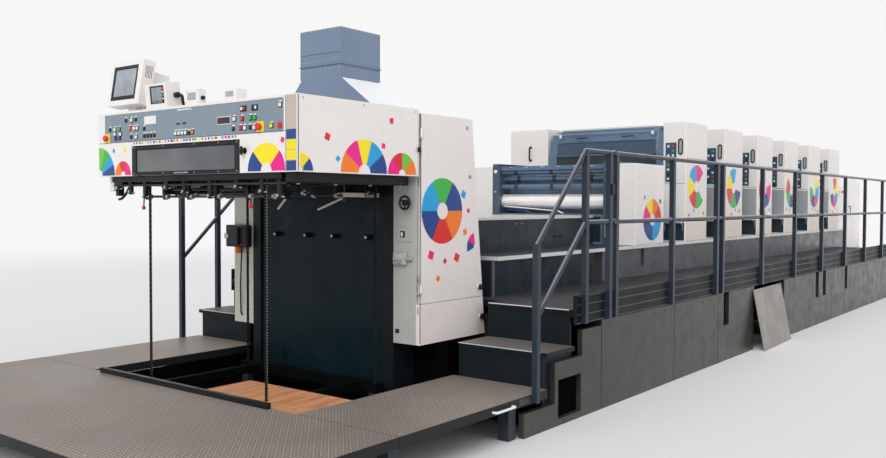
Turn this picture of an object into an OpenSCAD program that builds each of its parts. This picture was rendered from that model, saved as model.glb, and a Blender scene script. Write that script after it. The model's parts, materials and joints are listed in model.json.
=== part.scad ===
// Six-colour sheet-fed offset printing press with a coating unit.
// It stands on a plinth, with a gangway and railing along each side.
// +X runs from the delivery end to the feeder end, +Y from the operator side
// to the drive side, +Z up. The floor is Z = 0.
// Lengths along the press are counted from the front edge of the delivery
// platform, and then moved so that the origin is at half the length.

/* [Overall] */
// Half of the width over both gangways
gang_half = 1860; // [1700:10:2100]
// Height of the plinth under the press
plinth_z = 650; // [600:10:700]
// Half of the width of the plinth
plinth_half = 1130; // [1100:10:1150]

/* [Delivery platform] */
// Height of the platform's top
platform_z = 270; // [220:5:300]
// Thickness of the platform plates with their edges
platform_t = 60; // [40:5:80]
// Length of the platform in front of the pile pit
platform_front = 1265; // [900:5:1400]
// Length of the pile pit along the press
pit_len = 1210; // [1100:5:1400]
// Half of the width of the pile pit
pit_half = 1080; // [1065:5:1150]
// Gap at the seams between platform plates
seam = 4; // [2:1:8]
// Side of a platform leg
leg_w = 80; // [50:5:120]
// Height of the bar along the front of the pit
pit_bar_h = 35; // [20:1:60]
// Width of that bar, and its distance from the pit
pit_bar_w = 30; // [20:1:40]

/* [Gangways and steps] */
// Height of the gangway deck
deck_z = 760; // [740:5:800]
// Thickness of the deck
deck_t = 50; // [30:5:70]
// Thickness of the toe board along the deck's edge
toe_t = 15; // [8:1:25]
// Height of the toe board above the deck
toe_up = 100; // [60:5:140]
// How far the toe board hangs below the deck's top
toe_down = 103; // [80:1:105]
// Depth of a step
tread_len = 360; // [300:5:380]
// Thickness of a tread
tread_t = 30; // [15:1:40]
// Height of the tread below the deck
tread_z = 510; // [480:5:540]
// Height of the lowest tread at the feeder end
low_tread_z = 255; // [200:5:300]
// Thickness of the plinth's side panels
side_t = 40; // [15:5:60]
// Length from the first riser to the first seam of the side panels
end_len = 757; // [700:1:900]
// Length of the first side panel with its gap
first_bay = 1305; // [1200:5:1400]
// Number of side panels along each gangway, the first one too
bays = 10; // [9:1:12]
// Gap between two side panels
panel_gap = 8; // [4:1:12]
// Panel that is taken off on the operator side, counted from the delivery
open_bay = 3; // [2:1:6]
// Thickness of the loose panel's plate
loose_t = 12; // [8:1:20]
// Lean of the loose panel in degrees
loose_lean = 11; // [8:1:16]
// Turn of the loose panel away from the wall in degrees
loose_turn = 2; // [0:0.5:4]
// Width of a slot in the side panels
slot_w = 140; // [100:10:160]
// Width of a bearer or post under the deck
bearer_w = 60; // [40:5:80]

/* [Railings] */
// Side of a square railing post
post_w = 40; // [30:1:50]
// Extra height of the drive side's foot post
tall_up = 330; // [300:5:350]
// Extra height of the drive side's lower slanting rail
tall_mid_up = 226; // [200:2:240]
// Distance from the step's front to the drive side's stair post
stair_post_x = 220; // [200:5:250]
// Diameter of a rail
rail_d = 34; // [26:1:40]
// Height of the hand rail above the deck
rail_h = 1105; // [1000:5:1200]
// Height of the middle rail above the deck
mid_h = 605; // [500:5:650]

/* [Delivery] */
// Length of the delivery head in front of the side housings
head_len = 1120; // [1000:5:1180]
// Height of the underside of the head
head_z = 1680; // [1650:5:1750]
// Height of the head
head_h = 462; // [440:1:520]
// Reach of the head to the operator side
head_op = 990; // [960:5:1010]
// Reach of the head to the drive side
head_drive = 1160; // [1000:5:1250]
// Height of the control panel on the head
panel_h = 200; // [160:1:215]
// Frame of the head above the control panel
panel_rim = 17; // [10:1:30]
// Width of the window guard
guard_w = 1180; // [1000:5:1300]
// Height of the window guard
guard_h = 202; // [180:1:210]
// Thickness of the window guard
guard_t = 36; // [24:1:50]
// Centre of the window guard across the press
guard_y = 133; // [100:1:160]
// Side of the square duct collar on the exhaust hood
duct_w = 420; // [360:5:460]
// Height of the hood's flared foot
flare_h = 272; // [200:1:320]
// Height of the straight collar on it
collar_h = 368; // [200:1:400]
// Centre of the duct collar across the press
duct_y = -101; // [-150:1:0]
// Reach of the side housings from the centre line
cover_y = 1000; // [980:5:1030]
// Underside of the side housings
housing_z = 505; // [480:5:560]
// Length of the side housings at the bottom
housing_len = 785; // [700:5:800]
// Length of the side housings at the top
housing_top_len = 610; // [560:5:650]
// Height of the side housings' top
housing_top = 2120; // [2100:5:2140]
// Wall of the side housings
housing_wall = 30; // [20:1:50]
// Height of the seam under the side door
door_z = 790; // [780:1:850]
// Thickness of the side door
door_t = 28; // [20:1:32]
// Thickness of the delivery's side frames
frame_t = 90; // [60:5:110]
// Distance between the delivery's side frames
frame_gap = 1340; // [1300:5:1360]

/* [Long delivery] */
// Width of the long delivery
ext_w = 1040; // [960:10:1100]
// Height of the long delivery's top
ext_z = 1350; // [1300:5:1400]
// Thickness of the top plate on it
plate_t = 22; // [10:1:30]
// How far the top plate reaches past each side
plate_lip = 12; // [0:1:20]
// Length of the long delivery in front of the base
low_len = 185; // [100:5:800]
// Length of the long delivery over the base
ext_len = 2405; // [2000:5:2600]

/* [Pile hoist] */
// Distance between the front hoist chains
chain_gap = 1240; // [1200:5:1260]
// Width of a hoist chain
chain_w = 18; // [12:1:24]
// Depth of a hoist chain
chain_d = 14; // [10:1:20]
// Height of the pile beams
beam_h = 60; // [40:5:80]
// Width of the pile beams
beam_w = 80; // [60:5:90]
// Length of the pile board along the press
board_x = 490; // [400:5:700]
// Width of the pile board across the press
board_y = 1000; // [900:5:1020]
// Thickness of the pile board
board_t = 30; // [20:1:40]

/* [Printing units] */
// Number of printing units
unit_n = 6; // [4:1:8]
// Distance from one unit to the next
unit_pitch = 1200; // [1150:10:1250]
// Length of a unit's side covers
cover_len = 630; // [560:5:700]
// Height of the units' covers
unit_top = 2410; // [2380:5:2500]
// Height of the base under the units
base_z = 1047; // [1020:1:1080]
// Thickness of the ledge plate on the base
ledge_t = 30; // [20:1:40]
// Reach of the base on the drive side
base_drive = 1060; // [1020:5:1080]
// Outer face of the drive side covers from the centre line
drive_y = 1320; // [1260:5:1340]
// Inner face of the drive side covers from the centre line
drive_in = 775; // [745:5:800]
// Inner face of the units' side frames from the centre line
unit_in = 650; // [630:5:680]
// Thickness of the units' side frames
unit_frame_t = 85; // [60:5:90]
// Length of a unit's tall part
body_len = 780; // [740:5:800]
// Height of the low part between two units
low_z = 1400; // [1350:5:1450]
// Height of a unit's body under its guard
body_top = 2060; // [2000:5:2100]
// Length of a unit's sloping guard
guard_len = 520; // [480:5:530]
// Radius of the inking rollers
ink_r = 45; // [30:1:55]

/* [Coating unit] */
// Distance from the coating unit's front to the first printing unit
coat_len = 1250; // [1200:10:1300]
// Length of the coating unit's frames
coat_frame_len = 780; // [740:10:820]
// Length of the coating unit's side covers
coat_cover_len = 675; // [600:5:700]
// Radius of the coating roller
coat_r = 80; // [60:1:85]
// Distance between the coating unit's frames
coat_gap = 1280; // [1200:5:1280]
// Thickness of the coating unit's frames
coat_frame_t = 90; // [60:5:90]
// Height of the coating roller's axis above the ledge
roller_up = 438; // [420:1:460]
// Radius of the coating roller's journals
journal_r = 30; // [20:1:36]
// Top of the coating unit's covers
coat_top = 1900; // [1850:5:2000]

/* [Feeder] */
// Length of the feeder
feeder_len = 1965; // [1850:5:2200]
// Height of the feeder's frames
feeder_top = 2050; // [2000:5:2100]
// Height of the feeder's frames beside the last unit
feeder_low = 1600; // [1560:5:1640]
// Height of the feed table at the last unit
table_low = 1440; // [1415:5:1460]
// Height of the feed table at the feeder pile
table_high = 1760; // [1740:5:1770]
// Thickness of the feed table
table_t = 40; // [20:1:40]
// Length of the feed table
table_len = 1150; // [1100:5:1170]

/* [Clearances] */
// Clearance of a hinge pin or journal in its bore
fit = 0.3; // [0.2:0.05:0.6]
// Clearance round a moving cover
gap = 5; // [5:0.5:8]

/* [Hidden] */
$fn = 32;

// Stations along the press
x_pit = platform_front;
x_del = x_pit + pit_len;
x_head = x_del - head_len;
x_step = x_del + 285;
x_deck = x_step + tread_len;
x_foot = x_step - 175;
x_first = x_deck + 100;
x_plinth = x_del + housing_len + gap;
x_panel = x_step + end_len;
x_base = x_plinth + low_len;
x_coat = x_base + ext_len;
x_unit = x_coat + coat_len;
x_units_end = x_unit + unit_n * unit_pitch;
x_gang = x_units_end - 400;
x_feeder = x_units_end + 30;
press_len = x_feeder + feeder_len;

// Side panels: start and length of a bay
bay_len = (x_gang - x_panel - first_bay) / (bays - 1);
function bay_x(k) = k == 0 ? x_panel : x_panel + first_bay + (k - 1) * bay_len;
function bay_w(k) = (k == 0 ? first_bay : bay_len) - panel_gap;

// Levels
head_top = head_z + head_h;
ledge_z = base_z + ledge_t;
rail_z = deck_z + rail_h;
mid_z = deck_z + mid_h;
low_rail_z = rail_z - 640;
low_mid_z = mid_z - 610;
back_knob_z = 1246;

// Delivery
frame_in = frame_gap / 2;
frame_out = frame_in + frame_t;
housing_in = frame_out;
ext_half = ext_w / 2;
pin_r = 5;
barrel_r = 8;
door_axis = [x_del + barrel_r + 3, -cover_y - 4];
door_x = door_axis[0] + barrel_r + 2;
guard_z0 = head_z + 5;
guard_edge_r = 12;
guard_axis = [x_head + guard_edge_r, guard_z0 + guard_h - guard_edge_r];

// Pile hoist
chain_x = [x_head + guard_t + 40, x_del - 115];
chain_y = [chain_gap / 2, chain_gap / 2 + 70];
board_x0 = x_pit + 20;
board_z = platform_z - 15 - board_t;
beam_z = board_z - beam_h;

// Box between two corners
module block(x0, x1, y0, y1, z0, z1) {
  translate([x0, y0, z0]) cube([x1 - x0, y1 - y0, z1 - z0]);
}

// Outline in the XZ plane, drawn out from y0 to y1
module side_plate(points, y0, y1) {
  translate([0, y1, 0]) rotate([90, 0, 0]) linear_extrude(y1 - y0) polygon(points);
}

// Round bar across the press
module cross_bar(x, z, r, y0, y1) {
  translate([x, y1, z]) rotate([90, 0, 0]) cylinder(r = r, h = y1 - y0);
}

// The same on the operator side and on the drive side
module both_sides() {
  children();
  mirror([0, 1, 0]) children();
}

module placed() {
  translate([-press_len / 2, 0, 0]) children();
}

// Chequer plates round the pit, in three pieces
module delivery_platform() {
  z0 = platform_z - platform_t;
  color("gray") {
    block(0, x_pit, -gang_half, gang_half, z0, platform_z);
    both_sides() block(x_pit + seam, x_step, pit_half, gang_half, z0, platform_z);
  }
}

// Legs that carry the platform plates
module platform_legs() {
  z1 = platform_z - platform_t;
  front = [leg_w, x_pit / 2, x_pit - 2 * leg_w];
  along = [leg_w, x_pit / 2, x_pit - leg_w / 2, x_step - 5 * leg_w];
  middle = (pit_half - leg_w) / 2;
  outer = [pit_half + leg_w / 4, gang_half - 1.5 * leg_w];
  color("dimgray")
    both_sides() {
      for (x = front) block(x, x + leg_w, middle, middle + leg_w, 0, z1);
      for (x = along, y = outer) block(x, x + leg_w, y, y + leg_w, 0, z1);
    }
}

// Bar along the front of the pit
module pit_edge_bar() {
  x = x_pit - pit_bar_w - 5;
  y0 = -pit_half + 220;
  y1 = pit_half - 130;
  color("black") block(x, x + pit_bar_w, y0, y1, platform_z, platform_z + pit_bar_h);
}

// Opening for the window guard in the head
guard_y0 = guard_y - guard_w / 2;
guard_y1 = guard_y + guard_w / 2;
panel_z1 = head_top - panel_rim;
panel_z0 = panel_z1 - panel_h;
panel_t = 12;
panel_y0 = -head_op + 120;
panel_y1 = head_drive - 88;

module delivery_head() {
  pocket_z1 = head_z + guard_h + 2 * gap;
  pocket_t = guard_t + gap + 12;
  color("white") difference() {
    union() {
      block(x_head, x_del, -head_op, head_drive, head_z, head_top);
      block(x_del - 1, x_del + housing_top_len - 40, -housing_in + 1, housing_in - 1, head_z, head_top);
    }
    difference() {
      block(x_head - 1, x_head + pocket_t, guard_y0 - gap, guard_y1 + gap, head_z - 1, pocket_z1);
      for (y = [guard_y0 - gap - 1, guard_y1 - 20])
        cross_bar(guard_axis[0], guard_axis[1], pin_r, y, y + 21 + gap);
    }
    block(x_head - 1, x_head + panel_t, panel_y0, panel_y1, panel_z0, panel_z1);
  }
}

// Glazed guard, hinged along its upper edge
module window_guard() {
  z0 = guard_z0;
  color("dimgray") difference() {
    union() {
      block(x_head, x_head + guard_t, guard_y0, guard_y1, z0, guard_axis[1]);
      cross_bar(guard_axis[0], guard_axis[1], guard_edge_r, guard_y0, guard_y1);
    }
    block(x_head - 1, x_head + 8, guard_y0 + 46, guard_y1 - 46, z0 + 16, guard_axis[1] - 10);
    for (y = [guard_y0 - 1, guard_y1 - 21])
      cross_bar(guard_axis[0], guard_axis[1], pin_r + fit, y, y + 22);
  }
}

module control_panel() {
  color("lightslategray")
    block(x_head + 2, x_head + panel_t, panel_y0 + 1, panel_y1 - 1, panel_z0 + 1, panel_z1 - 1);
}

// On the head: a large screen on a foot, an instrument box and a junction box
module head_screens() {
  screen_x = 66;
  screen_y = 949;
  screen_w = 398;
  screen_h = 332;
  screen_foot = 61;
  case_t = 100;
  case_long = 260;
  foot_half = 120;
  box_y0 = 345;
  box_y1 = 590;
  box_front = 30;
  box_lean = 5;
  junction_x = 95;
  junction_y = 80;
  color("white") translate([x_head, 0, head_top]) {
    block(screen_x + 20, screen_x + 220, screen_y - foot_half, screen_y + foot_half, 0, 18);
    block(screen_x + 80, screen_x + 140, screen_y - 50, screen_y + 50, 17, screen_foot + 20);
    translate([screen_x, screen_y, screen_foot]) rotate([0, 9, 0]) difference() {
      union() {
        block(0, case_t, -screen_w / 2, screen_w / 2, 0, screen_h);
        block(case_t - 1, case_long, 50 - screen_w / 2, screen_w / 2 - 50, 30, screen_h - 60);
      }
      block(-1, 8, 55 - screen_w / 2, screen_w / 2 - 30, 40, screen_h - 37);
    }
    difference() {
      side_plate([[box_front, 0], [150, 0], [129, 190], [box_front - 15, 172]], box_y0, box_y1);
      translate([box_front, 0, 0]) rotate([0, -box_lean, 0]) block(-10, 4, box_y0 + 25, box_y1 - 54, 33, 157);
    }
    block(junction_x, junction_x + 58, junction_y, junction_y + 146, 0, 119);
  }
}

// Extraction hood: its foot flares out to both sides, its collar takes the duct
module exhaust_hood() {
  x0 = x_del - 75;
  reach = [376, 230];
  rim = 12;
  z0 = head_top;
  z1 = z0 + flare_h;
  z2 = z1 + collar_h;
  y0 = duct_y - duct_w / 2;
  y1 = duct_y + duct_w / 2;
  foot = [[y0 - reach[0], z0], [y1 + reach[1], z0], [y1, z1], [y0, z1]];
  color("slategray") {
    translate([x0, 0, 0]) rotate([90, 0, 90]) linear_extrude(duct_w) polygon(foot);
    difference() {
      union() {
        block(x0, x0 + duct_w, y0, y1, z1 - 1, z2);
        block(x0 - rim, x0 + duct_w + rim, y0 - rim, y1 + rim, z1 + 98, z1 + 104);
      }
      block(x0 + 6, x0 + duct_w - 6, y0 + 6, y1 - 6, z1 + 30, z2 + 1);
    }
  }
}

// Outline of a side housing between two heights, taken in by an edge
function housing_end(z) =
  housing_len - (housing_len - housing_top_len) * (z - housing_z) / (housing_top - housing_z);
function housing_outline(z0, z1, edge) = [
  [x_del + edge, z0 + edge],
  [x_del + housing_end(z0 + edge) - edge, z0 + edge],
  [x_del + housing_end(z1 - edge) - edge, z1 - edge],
  [x_del + edge, z1 - edge]
];

// Face that the side door closes on
door_back = cover_y - door_t - gap;
hinge_z = [door_z + 70, housing_top - 180];

module side_housing_operator() {
  hollow = housing_outline(door_z, housing_top, housing_wall);
  color("whitesmoke") {
    difference() {
      side_plate(housing_outline(housing_z, housing_top, 0), -door_back, -housing_in);
      side_plate(hollow, -door_back - 1, -housing_in - housing_wall);
    }
    for (z = hinge_z) {
      block(door_axis[0] - barrel_r, door_axis[0] + barrel_r, door_axis[1], -door_back + 1, z, z + 12);
      translate([door_axis[0], door_axis[1], z]) {
        cylinder(r = barrel_r, h = 12);
        translate([0, 0, 11]) cylinder(r = pin_r, h = 41);
      }
    }
  }
}

module side_housing_drive() {
  color("whitesmoke") side_plate(housing_outline(housing_z, housing_top, 0), housing_in, cover_y);
}

// Round knob near the free edge of a side cover
module cover_knob(z) {
  translate([x_del + housing_end(z) - 45, -cover_y + 1, z]) rotate([90, 0, 0]) cylinder(r = 16, h = 26);
}

// Cover door of the delivery, hinged at its delivery end
module side_door() {
  z0 = door_z + 4;
  z1 = housing_top - 4;
  points = [
    [door_x, z0],
    [x_del + housing_end(z0), z0],
    [x_del + housing_end(z1), z1],
    [door_x, z1]
  ];
  color("white") difference() {
    union() {
      side_plate(points, -cover_y, -cover_y + door_t);
      for (z = hinge_z) {
        translate([door_axis[0], door_axis[1], z + 12 + fit]) cylinder(r = barrel_r, h = 60);
        block(door_axis[0], door_x + 3, door_axis[1] - 1, door_axis[1] + 7, z + 12 + fit, z + 72);
      }
      cover_knob(z0 + 70);
    }
    for (z = hinge_z) translate([door_axis[0], door_axis[1], z + 10]) cylinder(r = pin_r + fit, h = 50);
  }
}

module lower_side_panel() {
  color("white") {
    side_plate(housing_outline(housing_z, door_z, 0), -cover_y, -door_back);
    cover_knob(640);
  }
}

// Side frames of the delivery, joined behind the pile by the chain housing
x_frames_end = x_plinth - 155;

module delivery_frames() {
  x1 = x_frames_end;
  color([0.12, 0.14, 0.16]) {
    both_sides() block(x_del, x1, frame_in, frame_out, 0, head_z);
    block(x_del + 60, x1, -frame_in - 1, frame_in + 1, 60, head_z);
  }
}

// Bars and brackets of the sheet joggers under the head
module jogger_bars() {
  y = chain_gap / 2 - 80;
  color([0.12, 0.13, 0.15]) {
    both_sides() block(x_head + 120, x_del - 160, y - 25, y, head_z - 130, head_z);
    for (x = [x_head + 160, x_head + 480, x_del - 220]) cross_bar(x, head_z - 90, 14, -y, y);
    block(x_head + 220, x_head + 420, -y + 1, y - 1, head_z - 60, head_z);
    block(x_head + 560, x_head + 800, -y + 1, y - 1, head_z - 50, head_z);
  }
}

// Four hoist chains, each with an anchor block on which the lowered pile rests
module hoist_chains() {
  color([0.2, 0.19, 0.18])
    both_sides() for (k = [0, 1]) {
      translate([chain_x[k], chain_y[k], 0]) {
        block(-chain_d / 2, chain_d / 2, -chain_w / 2, chain_w / 2, 0, head_z);
        block(-30, 30, -35, 35, 0, beam_z - fit);
      }
    }
}

// Frame of beams that the chains lift
module pile_carrier() {
  z1 = beam_z + beam_h;
  bar_y = chain_y[0] - 110;
  hole_x = chain_d / 2 + gap;
  hole_y = chain_w / 2 + gap;
  color([0.25, 0.26, 0.28]) difference() {
    union() {
      for (k = [0, 1])
        translate([chain_x[k] - beam_w / 2, 0, 0])
          block(0, beam_w, -chain_y[k] - 50, chain_y[k] + 50, beam_z, z1);
      both_sides() block(chain_x[0], chain_x[1], bar_y, bar_y + 60, beam_z, z1);
    }
    both_sides() for (k = [0, 1])
      translate([chain_x[k], chain_y[k], 0]) block(-hole_x, hole_x, -hole_y, hole_y, beam_z - 1, z1 + 1);
  }
}

module pile_board() {
  y0 = -pit_half + 30;
  hole_x = chain_d / 2 + 2 * gap;
  hole_y = chain_w / 2 + 2 * gap;
  color("burlywood") difference() {
    block(board_x0, board_x0 + board_x, y0, y0 + board_y, board_z, board_z + board_t);
    translate([chain_x[0], -chain_y[0], board_z]) block(-hole_x, hole_x, -hole_y, hole_y, -1, board_t + 1);
  }
}

// Plate that closes the pile space at the back, with four knobs
module back_panel() {
  color([0.13, 0.2, 0.22]) {
    block(x_del + 20, x_del + 60, -frame_in, frame_in, 100, head_z - 60);
    for (y = [-514, -167, 125, 470])
      translate([x_del - 22, y, back_knob_z]) rotate([0, 90, 0]) cylinder(r = 19, h = 43);
  }
}

// Casing of the long chain delivery between the head and the coating unit
module extended_delivery() {
  x0 = x_frames_end;
  color([0.2, 0.21, 0.23]) {
    block(x0, x_base, -ext_half, ext_half, plinth_z, ext_z);
    block(x_base - 1, x_coat, -ext_half, ext_half, ledge_z, ext_z);
  }
}

module delivery_top_plate() {
  half = ext_half + plate_lip;
  color("lightgray") block(x_frames_end, x_coat, -half, half, ext_z, ext_z + plate_t);
}

base_op = cover_y - 60;

module press_plinth() {
  color([0.35, 0.36, 0.36]) block(x_plinth, press_len, -plinth_half, plinth_half, 0, plinth_z);
}

module machine_base() {
  color([0.16, 0.17, 0.19]) block(x_base, x_units_end, -base_op, base_drive, plinth_z, base_z);
}

module base_ledge() {
  color("silver") block(x_base, x_units_end, -cover_y, drive_y, base_z, ledge_z);
}

// Deck with its toe board, and the wider piece beside the long delivery
module gangway(inner) {
  z0 = deck_z - deck_t;
  color("gray") {
    block(x_deck, x_gang, plinth_half, gang_half - 1, z0, deck_z);
    block(x_deck, x_gang, gang_half - toe_t, gang_half, deck_z - toe_down, deck_z + toe_up);
    block(x_plinth, x_base, ext_half, plinth_half + 1, z0, deck_z);
    block(x_base - 1, x_gang, inner, plinth_half + 1, z0, deck_z);
  }
}

module gangway_decks() {
  gangway(base_drive);
  mirror([0, 1, 0]) gangway(base_op);
}

// Posts on the floor and bearers on the plinth, under the decks
module gangway_supports() {
  y1 = gang_half - side_t;
  color([0.3, 0.3, 0.32])
    both_sides() for (k = [0:bays]) {
      x = min(bay_x(k), x_gang - bearer_w);
      block(x, x + bearer_w, y1 - bearer_w, y1, 0, plinth_z);
      block(x, x + bearer_w, base_drive + gap, y1, plinth_z, deck_z - deck_t);
    }
}

// Slots in the side panels: number of the bay and distance from its start
slots = [[2, 140], [5, 260], [5, 590], [6, 680]];
panel_top = deck_z - toe_down - 5;

// Side wall of the plinth: a stepped end piece and then the panels
module side_panels(open) {
  top = panel_top - 40;
  tread = tread_z - 78;
  low = 157;
  y0 = gang_half - side_t;
  step = [
    [x_del, 0],
    [x_panel - panel_gap, 0],
    [x_panel - panel_gap, top],
    [x_deck + 108, top],
    [x_deck + 108, tread],
    [x_step + 95, tread],
    [x_step + 95, low],
    [x_del, low]
  ];
  color([0.42, 0.44, 0.43]) {
    difference() {
      side_plate(step, y0, gang_half);
      block(x_step + 140, x_step + 450, y0 - 1, gang_half + 1, 45, 310);
    }
    for (k = [0:bays - 1])
      if (k != open)
        difference() {
          block(bay_x(k), bay_x(k) + bay_w(k), y0, gang_half, 0, panel_top);
          for (slot = slots)
            if (slot[0] == k)
              translate([bay_x(k) + slot[1], 0, 340]) block(0, slot_w, y0 - 1, gang_half + 1, 0, panel_top);
        }
  }
}

module side_panels_operator() {
  mirror([0, 1, 0]) side_panels(open_bay);
}

module side_panels_drive() {
  side_panels(-1);
}

// The panel that was taken off leans on the one beside its bay
module loose_panel() {
  lap = 45;
  tall = panel_top - 25;
  out = loose_t * cos(loose_lean) + tall * sin(loose_lean);
  y = -gang_half - fit - lap * sin(loose_turn) - out * cos(loose_turn);
  color([0.5, 0.52, 0.51])
    translate([bay_x(open_bay) - lap, y, loose_t * sin(loose_lean)])
      rotate([0, 0, loose_turn]) rotate([-loose_lean, 0, 0]) cube([bay_w(open_bay), loose_t, tall]);
}

// Steps from the platform to the deck
module delivery_steps() {
  y1 = gang_half - side_t;
  y0 = plinth_half;
  color([0.3, 0.33, 0.34])
    both_sides() {
      block(x_step, x_deck, y0, y1, 0, tread_z - tread_t);
      block(x_step - 10, x_deck, y0, gang_half, tread_z - tread_t, tread_z);
      block(x_deck, x_deck + 20, y0, y1, 0, deck_z - deck_t);
    }
}

// Steps from the deck to the floor at the feeder end
module feeder_steps() {
  y0 = plinth_half;
  color([0.3, 0.33, 0.34])
    both_sides() {
      block(x_gang, x_gang + tread_len, y0, gang_half - 1, 0, tread_z);
      block(x_gang + tread_len, x_gang + 2 * tread_len, y0, gang_half - 1, 0, low_tread_z);
    }
}

// Slanting rail between two points of the railing
module slope_rail(x0, z0, x1, z1) {
  run = x1 - x0;
  rise = z1 - z0;
  long = sqrt(run * run + rise * rise);
  translate([x0, 0, z0]) rotate([0, atan2(run, rise), 0]) cylinder(d = rail_d, h = long);
}

// Railing with a slanting part down to the platform and one at the feeder end
module railing(top_z, low_z, join_z) {
  y0 = gang_half;
  foot = deck_z - toe_down + 3;
  w = post_w / 2;
  x_last = x_gang - 60;
  x_end = x_gang + 2 * tread_len - 80;
  end_z = low_rail_z;
  low_z0 = platform_z - platform_t + 5;
  pair = x_first + 455;
  pair_2 = pair + 2175;
  span = (x_last - pair_2) / 7;
  near = [x_first, pair - 100, pair, pair + 1030, pair_2 - 150, pair_2];
  posts = concat(near, [for (k = [1:7]) pair_2 + k * span]);
  color([0.25, 0.29, 0.34])
    union() {
      for (x = posts) block(x - w, x + w, y0, y0 + post_w, foot, rail_z);
      block(x_foot - w, x_foot + w, y0, y0 + post_w, low_z0, top_z);
      block(x_end - w, x_end + w, y0 - 1 - post_w, y0 - 1, low_tread_z, end_z);
      block(x_end - w, x_end + w, y0 - 2, y0 + post_w, end_z - 40, end_z + 10);
      translate([0, y0 + w, 0]) {
        for (z = [rail_z, mid_z]) {
          translate([x_first, 0, z]) rotate([0, 90, 0]) cylinder(d = rail_d, h = x_last - x_first);
          translate([x_first, 0, z]) sphere(d = rail_d);
        }
        slope_rail(x_foot, top_z, x_first, rail_z);
        slope_rail(x_foot, low_z, x_first, join_z);
        slope_rail(x_end, end_z, x_last, rail_z);
      }
    }
}

// On the drive side the foot post is taller, and one more post stands beside the tread
module railing_drive() {
  w = post_w / 2;
  top_z = low_rail_z + tall_up;
  x = x_step + stair_post_x;
  z = top_z + (rail_z - top_z) * (x - x_foot) / (x_first - x_foot);
  color([0.25, 0.29, 0.34])
    union() {
      railing(top_z, low_mid_z + tall_mid_up, mid_z + tall_mid_up);
      block(x - w, x + w, gang_half, gang_half + post_w, tread_z - tread_t, z);
    }
}

module railing_operator() {
  mirror([0, 1, 0]) railing(low_rail_z, low_mid_z, mid_z);
}

// Coating unit
coat_in = coat_gap / 2;
coat_out = coat_in + coat_frame_t;
roller_x = x_coat + 110;
roller_z = ledge_z + roller_up;
coat_body_z = coat_top - 40;

module coating_frames() {
  color([0.22, 0.26, 0.31]) difference() {
    both_sides() block(x_coat, x_coat + coat_frame_len, coat_in, coat_out, ledge_z, coat_top + 30);
    cross_bar(roller_x, roller_z, journal_r + fit, -coat_out - 1, coat_out + 1);
  }
}

module coating_roller() {
  color("silver") {
    cross_bar(roller_x, roller_z, coat_r, -coat_in + gap, coat_in - gap);
    cross_bar(roller_x, roller_z, journal_r, -coat_out + 5, coat_out - 5);
  }
}

// Closed body behind the roller, with cross bars and rollers in front of it
module coating_body() {
  x0 = roller_x + coat_r + 30;
  bars = [[70, 600, 28], [130, 690, 34], [60, 760, 24]];
  color([0.18, 0.21, 0.25]) {
    block(x0, x_coat + coat_frame_len - coat_r, -coat_in, coat_in, ledge_z, coat_body_z);
    for (bar = bars) cross_bar(x_coat + bar[0], ledge_z + bar[1], bar[2], -coat_in, coat_in);
    block(x_coat + 20, x_coat + 90, -coat_in, coat_in, coat_body_z - 5, coat_top);
    block(x_coat + 20, x_coat + 170, -coat_in, coat_in, ledge_z, roller_z - coat_r - 48);
  }
}

// Six printing units
unit_out = unit_in + unit_frame_t;
frame_top = unit_top - 80;
footboard_t = 20;
ink_rollers = [[575, 80], [680, 110], [620, 190]];

module unit_frames() {
  color([0.22, 0.26, 0.31])
    both_sides() for (k = [0:unit_n - 1])
      translate([x_unit + k * unit_pitch, 0, 0])
        side_plate([
          [0, ledge_z], [unit_pitch - gap, ledge_z], [unit_pitch - gap, low_z],
          [body_len + 60, low_z + 80], [body_len, frame_top], [60, frame_top], [0, frame_top - 260]
        ], unit_in, unit_out);
}

module unit_bodies() {
  color([0.2, 0.23, 0.27])
    for (k = [0:unit_n - 1])
      translate([x_unit + k * unit_pitch, 0, 0])
        side_plate([
          [10, ledge_z], [unit_pitch - 2 * gap, ledge_z], [unit_pitch - 2 * gap, low_z - 25],
          [body_len + 20, low_z - 25], [body_len - 20, body_top], [10, body_top]
        ], -unit_in, unit_in);
}

module unit_guards() {
  color([0.35, 0.42, 0.5])
    for (k = [0:unit_n - 1])
      translate([x_unit + k * unit_pitch, 0, 0])
        side_plate([
          [10, body_top], [guard_len, body_top], [guard_len, unit_top - 30],
          [150, unit_top - 20], [60, unit_top - 90], [10, body_top + 60]
        ], -unit_in, unit_in);
}

// White side covers, the coating unit's first
module side_covers(y0, y1) {
  color("white") {
    block(x_coat, x_coat + coat_cover_len, unit_out, cover_y, ledge_z, coat_top);
    for (k = [0:unit_n - 1])
      translate([x_unit + k * unit_pitch, 0, 0]) block(0, cover_len, y0, y1, ledge_z, unit_top);
  }
}

module covers_operator() {
  mirror([0, 1, 0]) side_covers(unit_out, cover_y);
}

module covers_drive() {
  side_covers(drive_in, drive_y);
}

// Three inking rollers over each unit, between the frames
module inking_rollers() {
  color([0.15, 0.15, 0.16])
    for (k = [0:unit_n - 1], at = ink_rollers)
      translate([x_unit + k * unit_pitch, 0, body_top]) cross_bar(at[0], at[1], ink_r, -unit_in, unit_in);
}

// Boards to stand on between two units
module footboards() {
  half = unit_in - 2;
  z0 = low_z - 25;
  color("silver")
    for (k = [0:unit_n - 1])
      translate([x_unit + k * unit_pitch, 0, 0])
        block(body_len + 30, unit_pitch - 2 * gap, -half, half, z0, z0 + footboard_t);
}

// Feeder
feeder_in = unit_in + 10;

module feeder_frames() {
  x1 = press_len - 100;
  profile = [
    [x_feeder, plinth_z],
    [x1, plinth_z],
    [x1, feeder_top - 150],
    [x_feeder + 900, feeder_top],
    [x_feeder + 200, feeder_low + 50],
    [x_feeder, feeder_low]
  ];
  color("whitesmoke") both_sides() side_plate(profile, feeder_in, unit_out + 60);
}

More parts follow.
